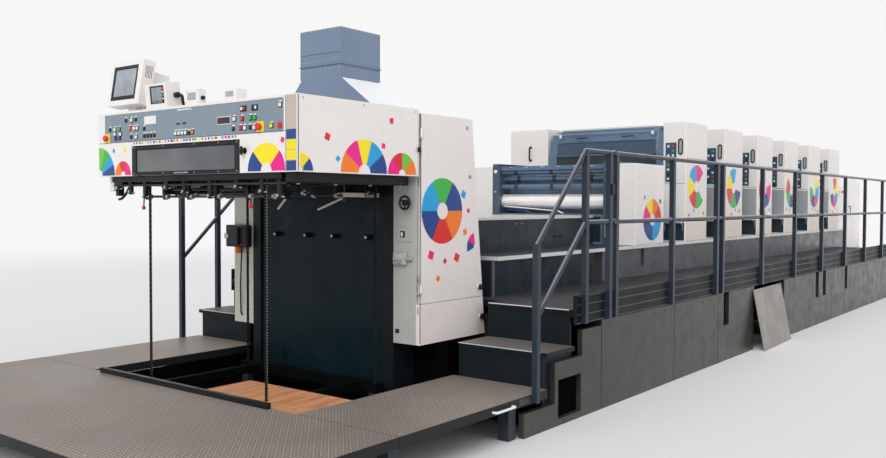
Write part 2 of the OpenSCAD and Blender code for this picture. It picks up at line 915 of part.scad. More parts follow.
// Slanting feed table, with the suction head behind it
module feed_table() {
  x0 = x_feeder - 10;
  x1 = x_feeder + table_len;
  table = [[x0, table_low], [x1, table_high], [x1, table_high + table_t], [x0, table_low + table_t]];
  suction_z = [feeder_top - 270, feeder_top - 90];
  color("silver") {
    side_plate(table, -feeder_in, feeder_in);
    block(x1 + 50, x1 + 350, -feeder_in, feeder_in, suction_z[0], suction_z[1]);
    cross_bar(x1 - 50, feeder_top - 150, 25, -feeder_in, feeder_in);
  }
}

// Board that the stack of blank sheets stands on
module feeder_pile() {
  half = feeder_in - 50;
  color("burlywood") block(x_feeder + table_len + 30, press_len - 180, -half, half, plinth_z, plinth_z + 60);
}

placed() delivery_platform();
placed() platform_legs();
placed() pit_edge_bar();
placed() delivery_head();
placed() window_guard();
placed() control_panel();
placed() head_screens();
placed() exhaust_hood();
placed() side_housing_operator();
placed() side_housing_drive();
placed() side_door();
placed() lower_side_panel();
placed() delivery_frames();
placed() jogger_bars();
placed() hoist_chains();
placed() pile_carrier();
placed() pile_board();
placed() back_panel();
placed() extended_delivery();
placed() delivery_top_plate();
placed() press_plinth();
placed() machine_base();
placed() base_ledge();
placed() gangway_decks();
placed() gangway_supports();
placed() side_panels_operator();
placed() side_panels_drive();
placed() loose_panel();
placed() delivery_steps();
placed() feeder_steps();
placed() railing_operator();
placed() railing_drive();
placed() coating_frames();
placed() coating_roller();
placed() coating_body();
placed() unit_frames();
placed() unit_bodies();
placed() unit_guards();
placed() covers_operator();
placed() covers_drive();
placed() inking_rollers();
placed() footboards();
placed() feeder_frames();
placed() feed_table();
placed() feeder_pile();
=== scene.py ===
# %% [markdown]
# # A sheet-fed offset printing press
# The press stands on a plinth with a gangway on each side. Its solids come ready made from the packed
# frame, so this lesson only dresses them: a camera, light, finishes, and the small parts that are too
# fine for the solids. Every length is in metres, +X runs along the press, +Z is up.

# %% The frame
import json
import math
import random
import bmesh
import bpy
from mathutils import Matrix, Vector

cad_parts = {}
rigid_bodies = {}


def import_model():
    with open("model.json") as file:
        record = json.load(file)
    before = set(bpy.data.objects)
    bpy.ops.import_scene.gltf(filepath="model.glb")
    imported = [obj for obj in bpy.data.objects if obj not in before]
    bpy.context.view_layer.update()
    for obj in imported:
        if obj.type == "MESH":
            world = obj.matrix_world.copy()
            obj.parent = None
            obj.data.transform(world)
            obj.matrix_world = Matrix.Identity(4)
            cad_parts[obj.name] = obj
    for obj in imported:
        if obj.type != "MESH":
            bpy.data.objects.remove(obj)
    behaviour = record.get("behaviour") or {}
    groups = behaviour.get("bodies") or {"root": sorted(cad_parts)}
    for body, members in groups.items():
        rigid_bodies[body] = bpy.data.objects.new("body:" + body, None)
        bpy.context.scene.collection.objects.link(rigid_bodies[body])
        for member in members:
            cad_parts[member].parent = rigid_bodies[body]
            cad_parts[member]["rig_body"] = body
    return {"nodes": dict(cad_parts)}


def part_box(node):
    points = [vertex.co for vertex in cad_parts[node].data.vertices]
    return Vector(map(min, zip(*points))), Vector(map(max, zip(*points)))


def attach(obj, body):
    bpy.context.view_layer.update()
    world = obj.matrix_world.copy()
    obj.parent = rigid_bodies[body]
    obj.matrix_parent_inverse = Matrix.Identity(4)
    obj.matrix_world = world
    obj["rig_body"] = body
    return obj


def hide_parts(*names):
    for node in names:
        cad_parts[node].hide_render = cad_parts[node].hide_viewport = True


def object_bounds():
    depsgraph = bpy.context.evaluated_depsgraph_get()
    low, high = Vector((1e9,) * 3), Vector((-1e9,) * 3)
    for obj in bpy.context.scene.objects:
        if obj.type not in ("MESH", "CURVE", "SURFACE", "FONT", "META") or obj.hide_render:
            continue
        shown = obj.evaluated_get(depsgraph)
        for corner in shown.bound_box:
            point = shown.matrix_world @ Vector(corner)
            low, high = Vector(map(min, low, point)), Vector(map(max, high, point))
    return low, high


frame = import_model()
cad_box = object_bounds()
scene = bpy.context.scene
random.seed(7)
print("solids:", len(frame["nodes"]), "press length:", round(cad_box[1].x - cad_box[0].x, 3))

# %% [markdown]
# ## Stations
# Places along the press are counted from the front edge of the delivery platform, as its maker would
# read them off a drawing. The main ones, and the outer planes of the head and the covers, are taken from
# the solids' boxes.

# %% Stations along the press
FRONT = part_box("delivery_platform")[0].x
PRESS = Matrix.Translation((FRONT, 0, 0))


def station(node, end):
    """Where a solid begins (0) or ends (1), counted from the front edge."""
    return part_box(node)[end].x - FRONT


HEAD = station("delivery_head", 0)
COLUMN = station("side_housing_drive", 0)
BASE = station("machine_base", 0)
COAT = station("coating_frames", 0)
UNIT = station("unit_frames", 0)
UNITS = 6
PITCH = (station("machine_base", 1) - UNIT) / UNITS
HEAD_NEAR, HEAD_FAR = (corner.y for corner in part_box("delivery_head"))
HEAD_LOW, HEAD_TOP = (corner.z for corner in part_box("delivery_head"))
COVER_NEAR, COVER_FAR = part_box("covers_operator")[0].y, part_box("covers_drive")[1].y
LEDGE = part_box("base_ledge")[1].z
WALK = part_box("gangway_decks")[1].y
print("head", round(HEAD, 3), "first unit", round(UNIT, 3), "pitch", round(PITCH, 3))

# %% [markdown]
# ## Camera
# The viewing point was worked out from the two vanishing points of the press's long and cross edges.
# Its three axes are written down as a matrix, so no shift and no tilt tricks are needed.

# %% Camera
camera = bpy.data.objects.new("camera", bpy.data.cameras.new("camera"))
scene.collection.objects.link(camera)
camera.data.sensor_width = 36.0
camera.data.lens = 35.3
camera.data.clip_end = 200.0
right = Vector((0.61559, -0.78806, 0.00363)).normalized()
back = Vector((-0.78776, -0.61522, 0.03044))
back = (back - right * back.dot(right)).normalized()
axes = Matrix((right, back.cross(right), back)).transposed().to_4x4()
camera.matrix_world = PRESS @ Matrix.Translation((-2.155, -4.82, 1.5)) @ axes
scene.camera = camera
print("camera height:", round(camera.location.z, 2))

# %% [markdown]
# ## Shader nodes
# The world, the floor and every finish are wired up from a few kinds of node. The class below
# gives those nodes short names, and it links a socket or sets its value, as the given thing asks.

# %% Short names for shader nodes
class Wiring:
    """The node tree of a material or of the world."""

    def __init__(self, owner):
        owner.use_nodes = True
        self.made, self.tree = owner, owner.node_tree
        self.shader = self.tree.nodes.get("Principled BSDF")
        self.where = self.tree.nodes.new("ShaderNodeTexCoord").outputs["Object"]

    def feed(self, socket, given):
        if isinstance(given, bpy.types.NodeSocket):
            self.tree.links.new(given, socket)
        elif socket.type == "RGBA":
            socket.default_value = (*given, 1)
        else:
            socket.default_value = given

    def node(self, kind, **given):
        made = self.tree.nodes.new("ShaderNode" + kind)
        for name, value in given.items():
            self.feed(made.inputs[name.replace("_", " ")], value)
        return made

    def stretched(self, scale, turn=(0, 0, 0)):
        return self.node("Mapping", Vector=self.where, Scale=scale, Rotation=turn).outputs[0]

    def noise(self, size, detail=5.0, at=None):
        return self.node("TexNoise", Vector=at or self.where, Scale=size, Detail=detail).outputs["Fac"]

    def ranged(self, value, low, high, start=0.0, end=1.0):
        made = self.node("MapRange", Value=value, From_Min=low, From_Max=high, To_Min=start, To_Max=end)
        return made.outputs[0]

    def calc(self, kind, a, b=0.0):
        made = self.tree.nodes.new("ShaderNodeMath")
        made.operation = kind
        self.feed(made.inputs[0], a)
        self.feed(made.inputs[1], b)
        return made.outputs[0]

    def blend(self, amount, under, over):
        made = self.tree.nodes.new("ShaderNodeMix")
        made.data_type = "RGBA"
        for socket, given in ((0, amount), (6, under), (7, over)):
            self.feed(made.inputs[socket], given)
        return made.outputs[2]

    def split(self, vector):
        return self.node("SeparateXYZ", Vector=vector).outputs

    def upward(self):
        return self.split(self.node("NewGeometry").outputs["Normal"])["Z"]

    def bump(self, height, strength, distance=0.002):
        made = self.node("Bump", Height=height, Strength=strength, Distance=distance)
        self.set(Normal=made.outputs[0])

    def set(self, **given):
        for name, value in given.items():
            self.feed(self.shader.inputs[name.replace("_", " ")], value)

    def mixed(self, amount, first, second):
        made = self.node("MixShader", Fac=amount)
        self.feed(made.inputs[1], first.outputs[0])
        self.feed(made.inputs[2], second.outputs[0])
        return made.outputs[0]


print("wiring helper is ready")

# %% [markdown]
# ## Light and floor
# A pale world gives even light from all round, and a sun with a wide angle gives soft shadows. The
# floor keeps the shadow near the press and fades to the white of the world farther out.

# %% World and lamps
PALE = (0.93, 0.93, 0.93)
scene.view_settings.view_transform = "Standard"
world = bpy.data.worlds.new("studio")
scene.world = world
sky = Wiring(world)
lit = sky.node("Background", Color=(0.95, 0.97, 1.0), Strength=0.52)
seen = sky.node("Background", Color=PALE)
path = sky.node("LightPath")
rays = path.outputs["Is Camera Ray"]
for other in ("Is Glossy Ray", "Is Transmission Ray"):
    rays = sky.calc("MAXIMUM", rays, path.outputs[other])
sky.feed(sky.tree.nodes["World Output"].inputs["Surface"], sky.mixed(rays, lit, seen))


def lamp(name, direction, strength, angle, color):
    data = bpy.data.lights.new(name, "SUN")
    data.energy = strength
    data.color = color
    data.angle = math.radians(angle)
    lamp_object = bpy.data.objects.new(name, data)
    lamp_object.rotation_euler = Vector(direction).to_track_quat("-Z", "Y").to_euler()
    scene.collection.objects.link(lamp_object)


lamp("key", (0.85, 0.30, -0.70), 1.75, 35, (1.0, 0.99, 0.975))
lamp("fill", (0.20, 0.90, -0.45), 0.80, 60, (1.0, 0.93, 0.92))
print("lamps are in place")


# %% Floor
def sheet_floor(reach, fade_start, fade_end):
    mesh = bpy.data.meshes.new("floor")
    corners = [(-reach, -reach, 0), (reach, -reach, 0), (reach, reach, 0), (-reach, reach, 0)]
    mesh.from_pydata(corners, [], [(0, 1, 2, 3)])
    made = bpy.data.objects.new("floor", mesh)
    made.location.z = cad_box[0].z - 0.001
    scene.collection.objects.link(made)
    w = Wiring(bpy.data.materials.new("pale_floor"))
    w.set(Base_Color=(0.80, 0.80, 0.80), Roughness=0.75)
    length = w.node("VectorMath", Vector=w.where)
    length.operation = "LENGTH"
    fade = w.ranged(length.outputs["Value"], fade_start, fade_end)
    fade.node.interpolation_type = "SMOOTHSTEP"
    surface = w.mixed(fade, w.shader, w.node("Emission", Color=PALE))
    w.feed(w.tree.nodes["Material Output"].inputs["Surface"], surface)
    mesh.materials.append(w.made)


sheet_floor(90.0, 10.0, 24.0)
print("floor is in place")

# %% [markdown]
# ## Finishes
# Sprayed paint is never one flat colour: it is a little uneven, duller where hands and dust have been,
# and has a fine orange peel. One helper builds that from noise, and each finish only sets its amounts.

# %% A helper that makes a finish
def finish(name, color, rough=0.4, metal=0.0, coat=0.0, uneven=0.08, dust=0.0, dust_color=(0.36, 0.33, 0.30),
           dust_top=0.6, peel=0.10, peel_size=260.0, streak=0.0, scratch=0.0, grain=(1, 1, 1), shine=0.5,
           painted_top_highlight=0.0):
    """Paint or metal: uneven tone, dust from below, runs, scratches, a painted top highlight and a fine skin.
    """
    w = Wiring(bpy.data.materials.new(name))
    w.set(Metallic=metal, Specular_IOR_Level=shine, Coat_Weight=coat, Coat_Roughness=0.12)
    along = w.stretched(grain)
    darker = tuple(c * (1 - uneven) for c in color)
    lighter = tuple(min(1, c * (1 + uneven)) for c in color)
    tone = w.blend(w.ranged(w.noise(1.7, at=along), 0.3, 0.7), darker, lighter)
    if streak:
        runs = w.ranged(w.noise(2.2, 6.0, w.stretched((9, 9, 0.5))), 0.45, 0.75, 0, streak)
        tone = w.blend(runs, tone, dust_color)
    if scratch:
        marks = w.ranged(w.noise(3.0, at=w.stretched((3, 3, 55), (0.5, 0.3, 0.2))), 0.66, 0.72, 0, scratch)
        tone = w.blend(marks, tone, tuple(min(1, c * 1.6 + 0.12) for c in color))
    if dust:
        height = w.split(w.where)["Z"]
        patches = w.ranged(w.noise(5, at=along), 0.3, 0.75, 0.2 * dust, dust)
        tone = w.blend(w.calc("MULTIPLY", w.ranged(height, 0.0, dust_top, 1, 0), patches), tone, dust_color)
    # Painted highlight: faces that look up are mixed toward pale grey.
    if painted_top_highlight:
        tone = w.blend(w.ranged(w.upward(), 0.55, 0.95, 0, painted_top_highlight), tone, (0.60, 0.60, 0.64))
    worn = w.ranged(w.noise(6.5, at=along), 0.3, 0.7, max(0.05, rough - 0.1), min(1, rough + 0.12))
    w.set(Base_Color=tone, Roughness=worn)
    w.bump(w.noise(peel_size, 2.0, along), peel)
    return w.made


# %% The finishes of the press
white = finish("white_enamel", (0.80, 0.775, 0.755), rough=0.30, coat=0.2, uneven=0.02, peel=0.05)
cream = finish("cream_enamel", (0.78, 0.735, 0.715), rough=0.34, coat=0.1, uneven=0.02, peel=0.05)
# Painted shade: the near housing's enamel is the far housing's cream made darker and greener for the head's
# shadow on it.
shaded_column = finish("shaded_column_enamel", (0.42, 0.45, 0.42), rough=0.34, coat=0.1, uneven=0.06, streak=0.12,
                shine=0.3, dust_color=(0.27, 0.24, 0.20))
beige = finish("beige_enamel", (0.52, 0.45, 0.385), rough=0.36, uneven=0.06)
skirt = finish("skirt_enamel", (0.76, 0.67, 0.60), rough=0.36, uneven=0.04)
far_column = finish("far_column_enamel", (0.66, 0.645, 0.57), rough=0.36, uneven=0.05, streak=0.1,
                    dust_color=(0.36, 0.33, 0.27))
panel_grey = finish("panel_grey", (0.205, 0.265, 0.32), rough=0.38, uneven=0.05)
key_blue = finish("key_strip_blue", (0.035, 0.065, 0.115), rough=0.40, uneven=0.1)
unit_grey = finish("unit_grey", (0.36, 0.375, 0.39), rough=0.40, uneven=0.07, streak=0.10)
dark_steel = finish("dark_steel", (0.028, 0.036, 0.046), rough=0.42, uneven=0.25, scratch=0.22, shine=0.3)
black = finish("black_paint", (0.008, 0.008, 0.010), rough=0.38, uneven=0.3, shine=0.25)
carrier_black = finish("carrier_black", (0.003, 0.003, 0.0035), rough=0.75, uneven=0.3, shine=0.03)
frame_black = finish("frame_black", (0.0045, 0.0065, 0.0085), rough=0.45, uneven=0.3, shine=0.2)
# Near-black, dull and without sheen: painted shade for the pit.
pit_painted_shade = finish("pit_painted_shade", (0.002, 0.002, 0.002), rough=0.9, uneven=0.3, shine=0.02)
gap_black = finish("seam_shadow", (0.018, 0.017, 0.016), rough=0.8, uneven=0.2)
hood_grey = finish("hood_grey", (0.175, 0.235, 0.335), rough=0.45, metal=0.2, uneven=0.08, peel=0.05)
hood_pale = finish("galvanised_sheet", (0.84, 0.86, 0.88), rough=0.50, uneven=0.04, peel_size=30.0)
back_teal = finish("back_panel_teal", (0.0030, 0.0130, 0.0180), rough=0.34, uneven=0.25, streak=0.05,
                   shine=0.14, scratch=0.03, dust_color=(0.05, 0.05, 0.05))
teal = finish("teal_paint", (0.016, 0.026, 0.036), rough=0.30, uneven=0.2, streak=0.05, shine=0.22)
pale_steel = finish("pale_steel", (0.68, 0.67, 0.66), rough=0.36, metal=0.2, uneven=0.06, grain=(1, 25, 1),
                    peel_size=60.0)
zinc = finish("zinc_parts", (0.42, 0.42, 0.43), rough=0.35, metal=0.8, uneven=0.12, peel_size=90.0)
plinth_paint = finish("plinth_paint", (0.028, 0.030, 0.027), rough=0.30, uneven=0.18, streak=0.14, dust=0.25,
                      scratch=0.06, dust_color=(0.12, 0.11, 0.09), dust_top=0.35, shine=0.42)
loose_paint = finish("loose_panel_paint", (0.30, 0.29, 0.275), rough=0.6, uneven=0.14, streak=0.5, dust=0.5,
                     scratch=0.3, dust_color=(0.17, 0.15, 0.13), dust_top=0.8)
core_paint = finish("core_paint", (0.012, 0.012, 0.013), rough=0.8, uneven=0.2, shine=0.1)
# The rails get a painted highlight on their upward faces.
rail_paint = finish("rail_paint", (0.020, 0.029, 0.044), rough=0.22, uneven=0.15, scratch=0.12, shine=0.32,
                    painted_top_highlight=0.85)
toe_edge = finish("toe_board_rib", (0.050, 0.054, 0.062), rough=0.30, uneven=0.12, scratch=0.2, shine=0.3)
frame_blue = finish("frame_blue", (0.078, 0.132, 0.208), rough=0.30, uneven=0.2, coat=0.3)
coating_blue = finish("coating_frame_blue", (0.046, 0.070, 0.106), rough=0.30, uneven=0.2, coat=0.3)
guard_dark = finish("guard_dark_blue", (0.030, 0.062, 0.115), rough=0.30, uneven=0.15, coat=0.25)
base_dark = finish("base_dark", (0.120, 0.122, 0.142), rough=0.30, uneven=0.2, scratch=0.15, streak=0.20,
                   dust_color=(0.20, 0.19, 0.18))
# On the base ledge this pale tone is a painted reflection along its top; its scratches are wear.
ledge_pale = finish("ledge_pale", (0.72, 0.71, 0.70), rough=0.34, metal=0.1, uneven=0.10, scratch=0.2)
chain_steel = finish("chain_steel", (0.022, 0.021, 0.020), rough=0.42, metal=0.4, uneven=0.4, shine=0.3)
chrome = finish("ground_steel", (0.84, 0.83, 0.82), rough=0.24, metal=0.45, uneven=0.05, peel=0.0)
rubber = finish("roller_rubber", (0.015, 0.016, 0.020), rough=0.5, uneven=0.2, shine=0.3)
plywood = finish("plywood", (0.60, 0.275, 0.125), rough=0.62, uneven=0.30, grain=(2.0, 9.0, 9.0), peel=0.3,
                 peel_size=40.0, streak=0.35, dust_color=(0.34, 0.15, 0.07))

INKS = {
    "magenta": (0.80, 0.004, 0.24), "yellow": (0.90, 0.74, 0.005), "cyan": (0.01, 0.33, 0.68),
    "green": (0.04, 0.42, 0.06), "orange": (0.86, 0.19, 0.010), "red": (0.70, 0.016, 0.014),
    "navy": (0.006, 0.045, 0.23), "white_ink": (0.80, 0.79, 0.77),
    "black_ink": (0.012, 0.012, 0.014), "dark_red": (0.060, 0.014, 0.022), "lime": (0.14, 0.52, 0.05),
}
ink = {name: finish(name, color, rough=0.36, uneven=0.04, peel=0.04) for name, color in INKS.items()}
print("finishes:", len(bpy.data.materials))


# %% Glass
def pane(name, low, high, rough):
    """Tinted pane with painted reflections: soft upright streaks of a lighter tint in its colour, like those
    that a workshop puts into it.
    """
    w = Wiring(bpy.data.materials.new(name))
    # The lighter upright streaks are painted reflections.
    upright = w.ranged(w.noise(2.4, 3.0, w.stretched((1.6, 1.6, 1.1))), 0.38, 0.66)
    w.set(Base_Color=w.blend(upright, low, high), Roughness=rough, Coat_Weight=0.8, Coat_Roughness=0.05)
    w.bump(w.noise(14.0, 2.0), 0.02)
    return w.made


smoked = pane("smoked_pane", (0.040, 0.048, 0.060), (0.085, 0.094, 0.102), 0.22)
display = pane("display_glass", (0.17, 0.20, 0.24), (0.36, 0.40, 0.45), 0.12)

# %% [markdown]
# ## Chequer plate
# The walking surfaces are steel plate with small raised lozenges, which lie in turn one way and the
# other. Tens of thousands of them would make a heavy mesh, so the pattern is built in the finish, from
# the place on the plate, and it raises the surface there as well as rubbing it bright. It is left out
# where the surface doesn't face up.

# %% Chequer plate
def chequer(name, color, bright, side_color, soil_color=(0.19, 0.165, 0.15), pitch=0.026):
    w = Wiring(bpy.data.materials.new(name))
    w.set(Metallic=0.15, Specular_IOR_Level=0.18)
    u, v = (w.calc("DIVIDE", w.split(w.where)[axis], pitch) for axis in ("X", "Y"))
    cu, cv = w.calc("FLOOR", u), w.calc("FLOOR", v)
    fu, fv = (w.calc("SUBTRACT", w.calc("SUBTRACT", place, cell), 0.5) for place, cell in ((u, cu), (v, cv)))
    turn = w.calc("SUBTRACT", w.calc("MULTIPLY", w.calc("PINGPONG", w.calc("ADD", cu, cv), 1.0), 2.0), 1.0)
    tilted = w.calc("MULTIPLY", fv, turn)
    along = w.calc("POWER", w.calc("DIVIDE", w.calc("ADD", fu, tilted), 0.56), 2.0)
    across = w.calc("POWER", w.calc("DIVIDE", w.calc("SUBTRACT", fu, tilted), 0.17), 2.0)
    lozenge = w.ranged(w.calc("ADD", along, across), 1.25, 0.55)
    upward = w.ranged(w.upward(), 0.6, 0.8)
    raised = w.calc("MULTIPLY", lozenge, upward)
    rub = w.ranged(w.noise(1.3, 8.0), 0.35, 0.65)
    amount = w.calc("MULTIPLY", raised, w.calc("ADD", w.calc("MULTIPLY", rub, 0.7), 0.3))
    top = w.blend(amount, color, bright)
    soil = w.blend(w.calc("MULTIPLY", w.ranged(w.noise(0.9, 9.0), 0.42, 0.7), 0.55), top, soil_color)
    dull = w.calc("ADD", w.calc("MULTIPLY", rub, 0.2), 0.38)
    w.set(Base_Color=w.blend(upward, side_color, soil), Roughness=dull)
    w.bump(raised, 0.8, 0.0025)
    return w.made


plate = chequer("chequer_plate", (0.235, 0.195, 0.170), (0.78, 0.73, 0.69), (0.020, 0.020, 0.020))
deck_plate = chequer("worn_deck_plate", (0.017, 0.017, 0.019), (0.075, 0.072, 0.07), (0.006, 0.008, 0.010),
                     (0.080, 0.080, 0.095))
step_plate = chequer("step_plate", (0.120, 0.112, 0.105), (0.55, 0.52, 0.49), (0.0065, 0.0125, 0.0165))
print("chequer plates: 3")

# %% [markdown]
# ## Dressing the solids
# Sheet metal has no knife-sharp edge. The solids whose edges show are copied, welded and given a small
# bevel, and the copy stands for the solid. The others keep their mesh and only get a finish.


def dress(mesh, material):
    mesh.materials.clear()
    mesh.materials.append(material)


def soft_copy(node, width, material):
    """A bevelled copy that stands for a solid, with its edges drawn in by the width."""
    source = frame["nodes"][node]
    mesh = source.data.copy()
    bm = bmesh.new()
    bm.from_mesh(mesh)
    bmesh.ops.remove_doubles(bm, verts=bm.verts, dist=1e-5)
    bmesh.ops.dissolve_limit(bm, angle_limit=math.radians(1), verts=bm.verts, edges=bm.edges)
    sharp = [e for e in bm.edges if len(e.link_faces) == 2 and e.calc_face_angle() > math.radians(25)]
    bmesh.ops.bevel(bm, geom=sharp, offset=width, segments=2, profile=0.6, affect="EDGES", clamp_overlap=True,
                    harden_normals=False)
    bm.to_mesh(mesh)
    bm.free()
    copy = bpy.data.objects.new(node + "_soft", mesh)
    scene.collection.objects.link(copy)
    dress(mesh, material)
    mesh.shade_flat()
    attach(copy, source["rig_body"])
    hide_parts(node)


# The near side housing is dressed in the painted-shade copy of the cream.
soft = {
    "delivery_head": (0.006, white), "side_housing_operator": (0.005, shaded_column),
    "side_housing_drive": (0.006, far_column), "side_door": (0.004, cream),
    "lower_side_panel": (0.004, cream), "covers_operator": (0.006, white), "covers_drive": (0.006, white),
    "head_screens": (0.004, white), "feeder_frames": (0.006, white), "unit_guards": (0.008, frame_blue),
    "window_guard": (0.003, black), "exhaust_hood": (0.002, hood_grey), "loose_panel": (0.002, loose_paint),
    "pile_board": (0.002, plywood),
}
for node, (width, material) in soft.items():
    soft_copy(node, width, material)
print("soft copies:", len(soft))

# %% Finishes of the other solids
plain = {
    plate: ["delivery_platform"],
    deck_plate: ["gangway_decks"],
    step_plate: ["delivery_steps", "feeder_steps"],
    dark_steel: ["platform_legs", "unit_bodies", "gangway_supports"],
    frame_black: ["delivery_frames"],
    carrier_black: ["pile_carrier"],
    base_dark: ["machine_base"],
    black: ["pit_edge_bar", "jogger_bars"],
    panel_grey: ["control_panel"],
    back_teal: ["back_panel"],
    teal: ["extended_delivery"],
    plywood: ["feeder_pile"],
    pale_steel: ["delivery_top_plate", "footboards", "feed_table"],
    # The base ledge's pale finish is a painted reflection.
    ledge_pale: ["base_ledge"],
    core_paint: ["press_plinth"],
    plinth_paint: ["side_panels_operator", "side_panels_drive"],
    rail_paint: ["railing_operator", "railing_drive"],
    frame_blue: ["coating_body", "unit_frames"],
    coating_blue: ["coating_frames"],
    chrome: ["coating_roller"],
    rubber: ["inking_rollers"],
}
for material, nodes in plain.items():
    for node in nodes:
        dress(frame["nodes"][node].data, material)
print("dressed solids:", sum(len(nodes) for nodes in plain.values()))

# %% [markdown]
# ## Small parts
# Buttons, handles, screws and chain links are made of a few kinds of solid. The class below gathers
# such solids, each with its own finish, into one piece. A face of the press is a local frame: u runs to
# the viewer's right, v up, and w out of the face.

# %% A gatherer of small parts
def inset(outline, amount):
    """The outline drawn in by an amount."""
    points = [Vector(p) for p in outline]
    area = sum(a.x * b.y - b.x * a.y for a, b in zip(points, points[1:] + points[:1]))
    drawn = []
    for p, q, r in zip(points[-1:] + points, points, points[1:] + points[:1]):
        a, b = (q - p).normalized(), (r - q).normalized()
        inward = [Vector((-d.y, d.x)) * math.copysign(1, area) for d in (a, b)]
        drawn.append(q + (inward[0] + inward[1]) * (amount / max(0.3, 1 + inward[0].dot(inward[1]))))
    return drawn


def rounded(points, radius, steps=5):
    """A path with each inner corner replaced by a short curve."""
    points = [Vector(p) for p in points]
    path = [points[0]]
    for a, b, c in zip(points, points[1:], points[2:]):
        cut = min(radius, 0.45 * (b - a).length, 0.45 * (c - b).length)
        start, stop = b + (a - b).normalized() * cut, b + (c - b).normalized() * cut
        for k in range(steps + 1):
            t = k / steps
            path.append(start * (1 - t) ** 2 + b * 2 * t * (1 - t) + stop * t * t)
    return path + [points[-1]]


def circle(side, other, count):
    """Directions evenly round a circle, from two that are square to each other."""
    angles = [2 * math.pi * k / count for k in range(count)]
    return [side * math.cos(a) + other * math.sin(a) for a in angles]


class Parts:
    """Small solids gathered into one piece, each with its own finish."""

    def __init__(self, name, slot="black_paint", body="root"):
        self.name, self.slot, self.body = name, slot, body
        self.verts, self.faces, self.finishes, self.which = [], [], [], []
        self.place = PRESS

    def on(self, place=Matrix.Identity(4)):
        self.place = PRESS @ place
        return self

    def face(self, side, depth):
        return self.on(facing(side, depth))

    def add(self, verts, faces, material):
        """Points and faces in a finish, or in the ink of that name."""
        material = ink.get(material, material)
        if material not in self.finishes:
            self.finishes.append(material)
        first = len(self.verts)
        self.verts += [self.place @ Vector(v) for v in verts]
        self.faces += [[first + i for i in face] for face in faces]
        self.which += [self.finishes.index(material)] * len(faces)

    def rings(self, rings, material, closed=False):
        """Rings of points joined one to the next, with a cap at each end."""
        count = len(rings[0])
        verts = [v for ring in rings for v in ring]
        faces = []
        for k in range(len(rings) if closed else len(rings) - 1):
            a, b = k * count, (k + 1) % len(rings) * count
            faces += [[a + i, a + (i + 1) % count, b + (i + 1) % count, b + i] for i in range(count)]
        if not closed:
            faces += [list(range(count)), list(range(len(verts) - count, len(verts)))]
        self.add(verts, faces, material)

    def prism(self, outline, low, high, material, edge=0.0):
        """An outline in u and v, drawn out along w, with chamfered ends."""
        steps = [(0, low + edge), (0, high - edge)]
        if edge:
            steps = [(edge, low), *steps, (edge, high)]
        self.rings([[(p[0], p[1], w) for p in inset(outline, amount)] for amount, w in steps], material)

    def box(self, low, high, material, edge=0.002):
        """A block with all its edges chamfered."""
        middle = [(a + b) / 2 for a, b in zip(low, high)]
        half = [(b - a) / 2 for a, b in zip(low, high)]
        edge = min([edge] + [0.45 * h for h in half])
        signs = [(x, y, z) for x in (-1, 1) for y in (-1, 1) for z in (-1, 1)]
        verts = [[middle[i] + s[i] * (half[i] - (0 if i == axis else edge)) for i in range(3)]
                 for s in signs for axis in range(3)]

        def at(axis, *given):
            sign = dict(given)
            return signs.index((sign[0], sign[1], sign[2])) * 3 + axis

        around = ((-1, -1), (1, -1), (1, 1), (-1, 1))
        faces = [[3 * k, 3 * k + 1, 3 * k + 2] for k in range(8)]
        for axis in range(3):
            a, b = [i for i in range(3) if i != axis]
            for side in (-1, 1):
                faces.append([at(axis, (axis, side), (a, s), (b, t)) for s, t in around])
            for s, t in around:
                start, end = ([(axis, side), (a, s), (b, t)] for side in (-1, 1))
                faces.append([at(a, *start), at(a, *end), at(b, *end), at(b, *start)])
        self.add(verts, faces, material)

    def pad(self, u, v, half_u, half_v, low, high, material, edge=0.002):
        """A block round a middle point in u and v."""
        self.box((u - half_u, v - half_v, low), (u + half_u, v + half_v, high), material, edge)

    def turned(self, base, axis, profile, material, sides=16):
        """A profile of (height, radius) turned about an axis through the base."""
        base, axis = Vector(base), Vector(axis).normalized()
        side = axis.orthogonal().normalized()
        spokes = circle(side, axis.cross(side), sides)
        self.rings([[base + axis * height + spoke * radius for spoke in spokes]
                    for height, radius in profile], material)

    def rod(self, start, end, radius, material, sides=14):
        """A round bar with chamfered ends."""
        start, end = Vector(start), Vector(end)
        long, edge = (end - start).length, radius * 0.2
        profile = [(0, radius - edge), (edge, radius), (long - edge, radius), (long, radius - edge)]
        self.turned(start, end - start, profile, material, sides)

    def tube(self, points, radius, material, sides=8, bend=0.03, closed=False):
        """A round bar bent along a path."""
        path = [Vector(p) for p in points] if closed else rounded(points, bend)
        count, normal, rings = len(path), None, []
        for i, p in enumerate(path):
            before = path[i - 1] if i or closed else p
            after = path[(i + 1) % count] if i < count - 1 or closed else p
            tangent = (after - before).normalized()
            normal = (normal or tangent.orthogonal()).normalized()
            normal = (normal - tangent * normal.dot(tangent)).normalized()
            rings.append([p + spoke * radius for spoke in circle(normal, tangent.cross(normal), sides)])
        self.rings(rings, material, closed)

    def done(self, replaces=()):
        mesh = bpy.data.meshes.new(self.name)
        mesh.from_pydata(self.verts, [], self.faces)
        for material in self.finishes:
            mesh.materials.append(material)
        mesh.polygons.foreach_set("material_index", self.which)
        bm = bmesh.new()
        bm.from_mesh(mesh)
        bmesh.ops.recalc_face_normals(bm, faces=bm.faces)
        bm.to_mesh(mesh)
        bm.free()
        mesh.shade_smooth()
        mesh.set_sharp_from_angle(angle=math.radians(35))
        made = bpy.data.objects.new(self.name, mesh)
        scene.collection.objects.link(made)
        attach(made, self.body)
        if replaces:
            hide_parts(*replaces)
        print(self.name, len(self.faces), "faces")


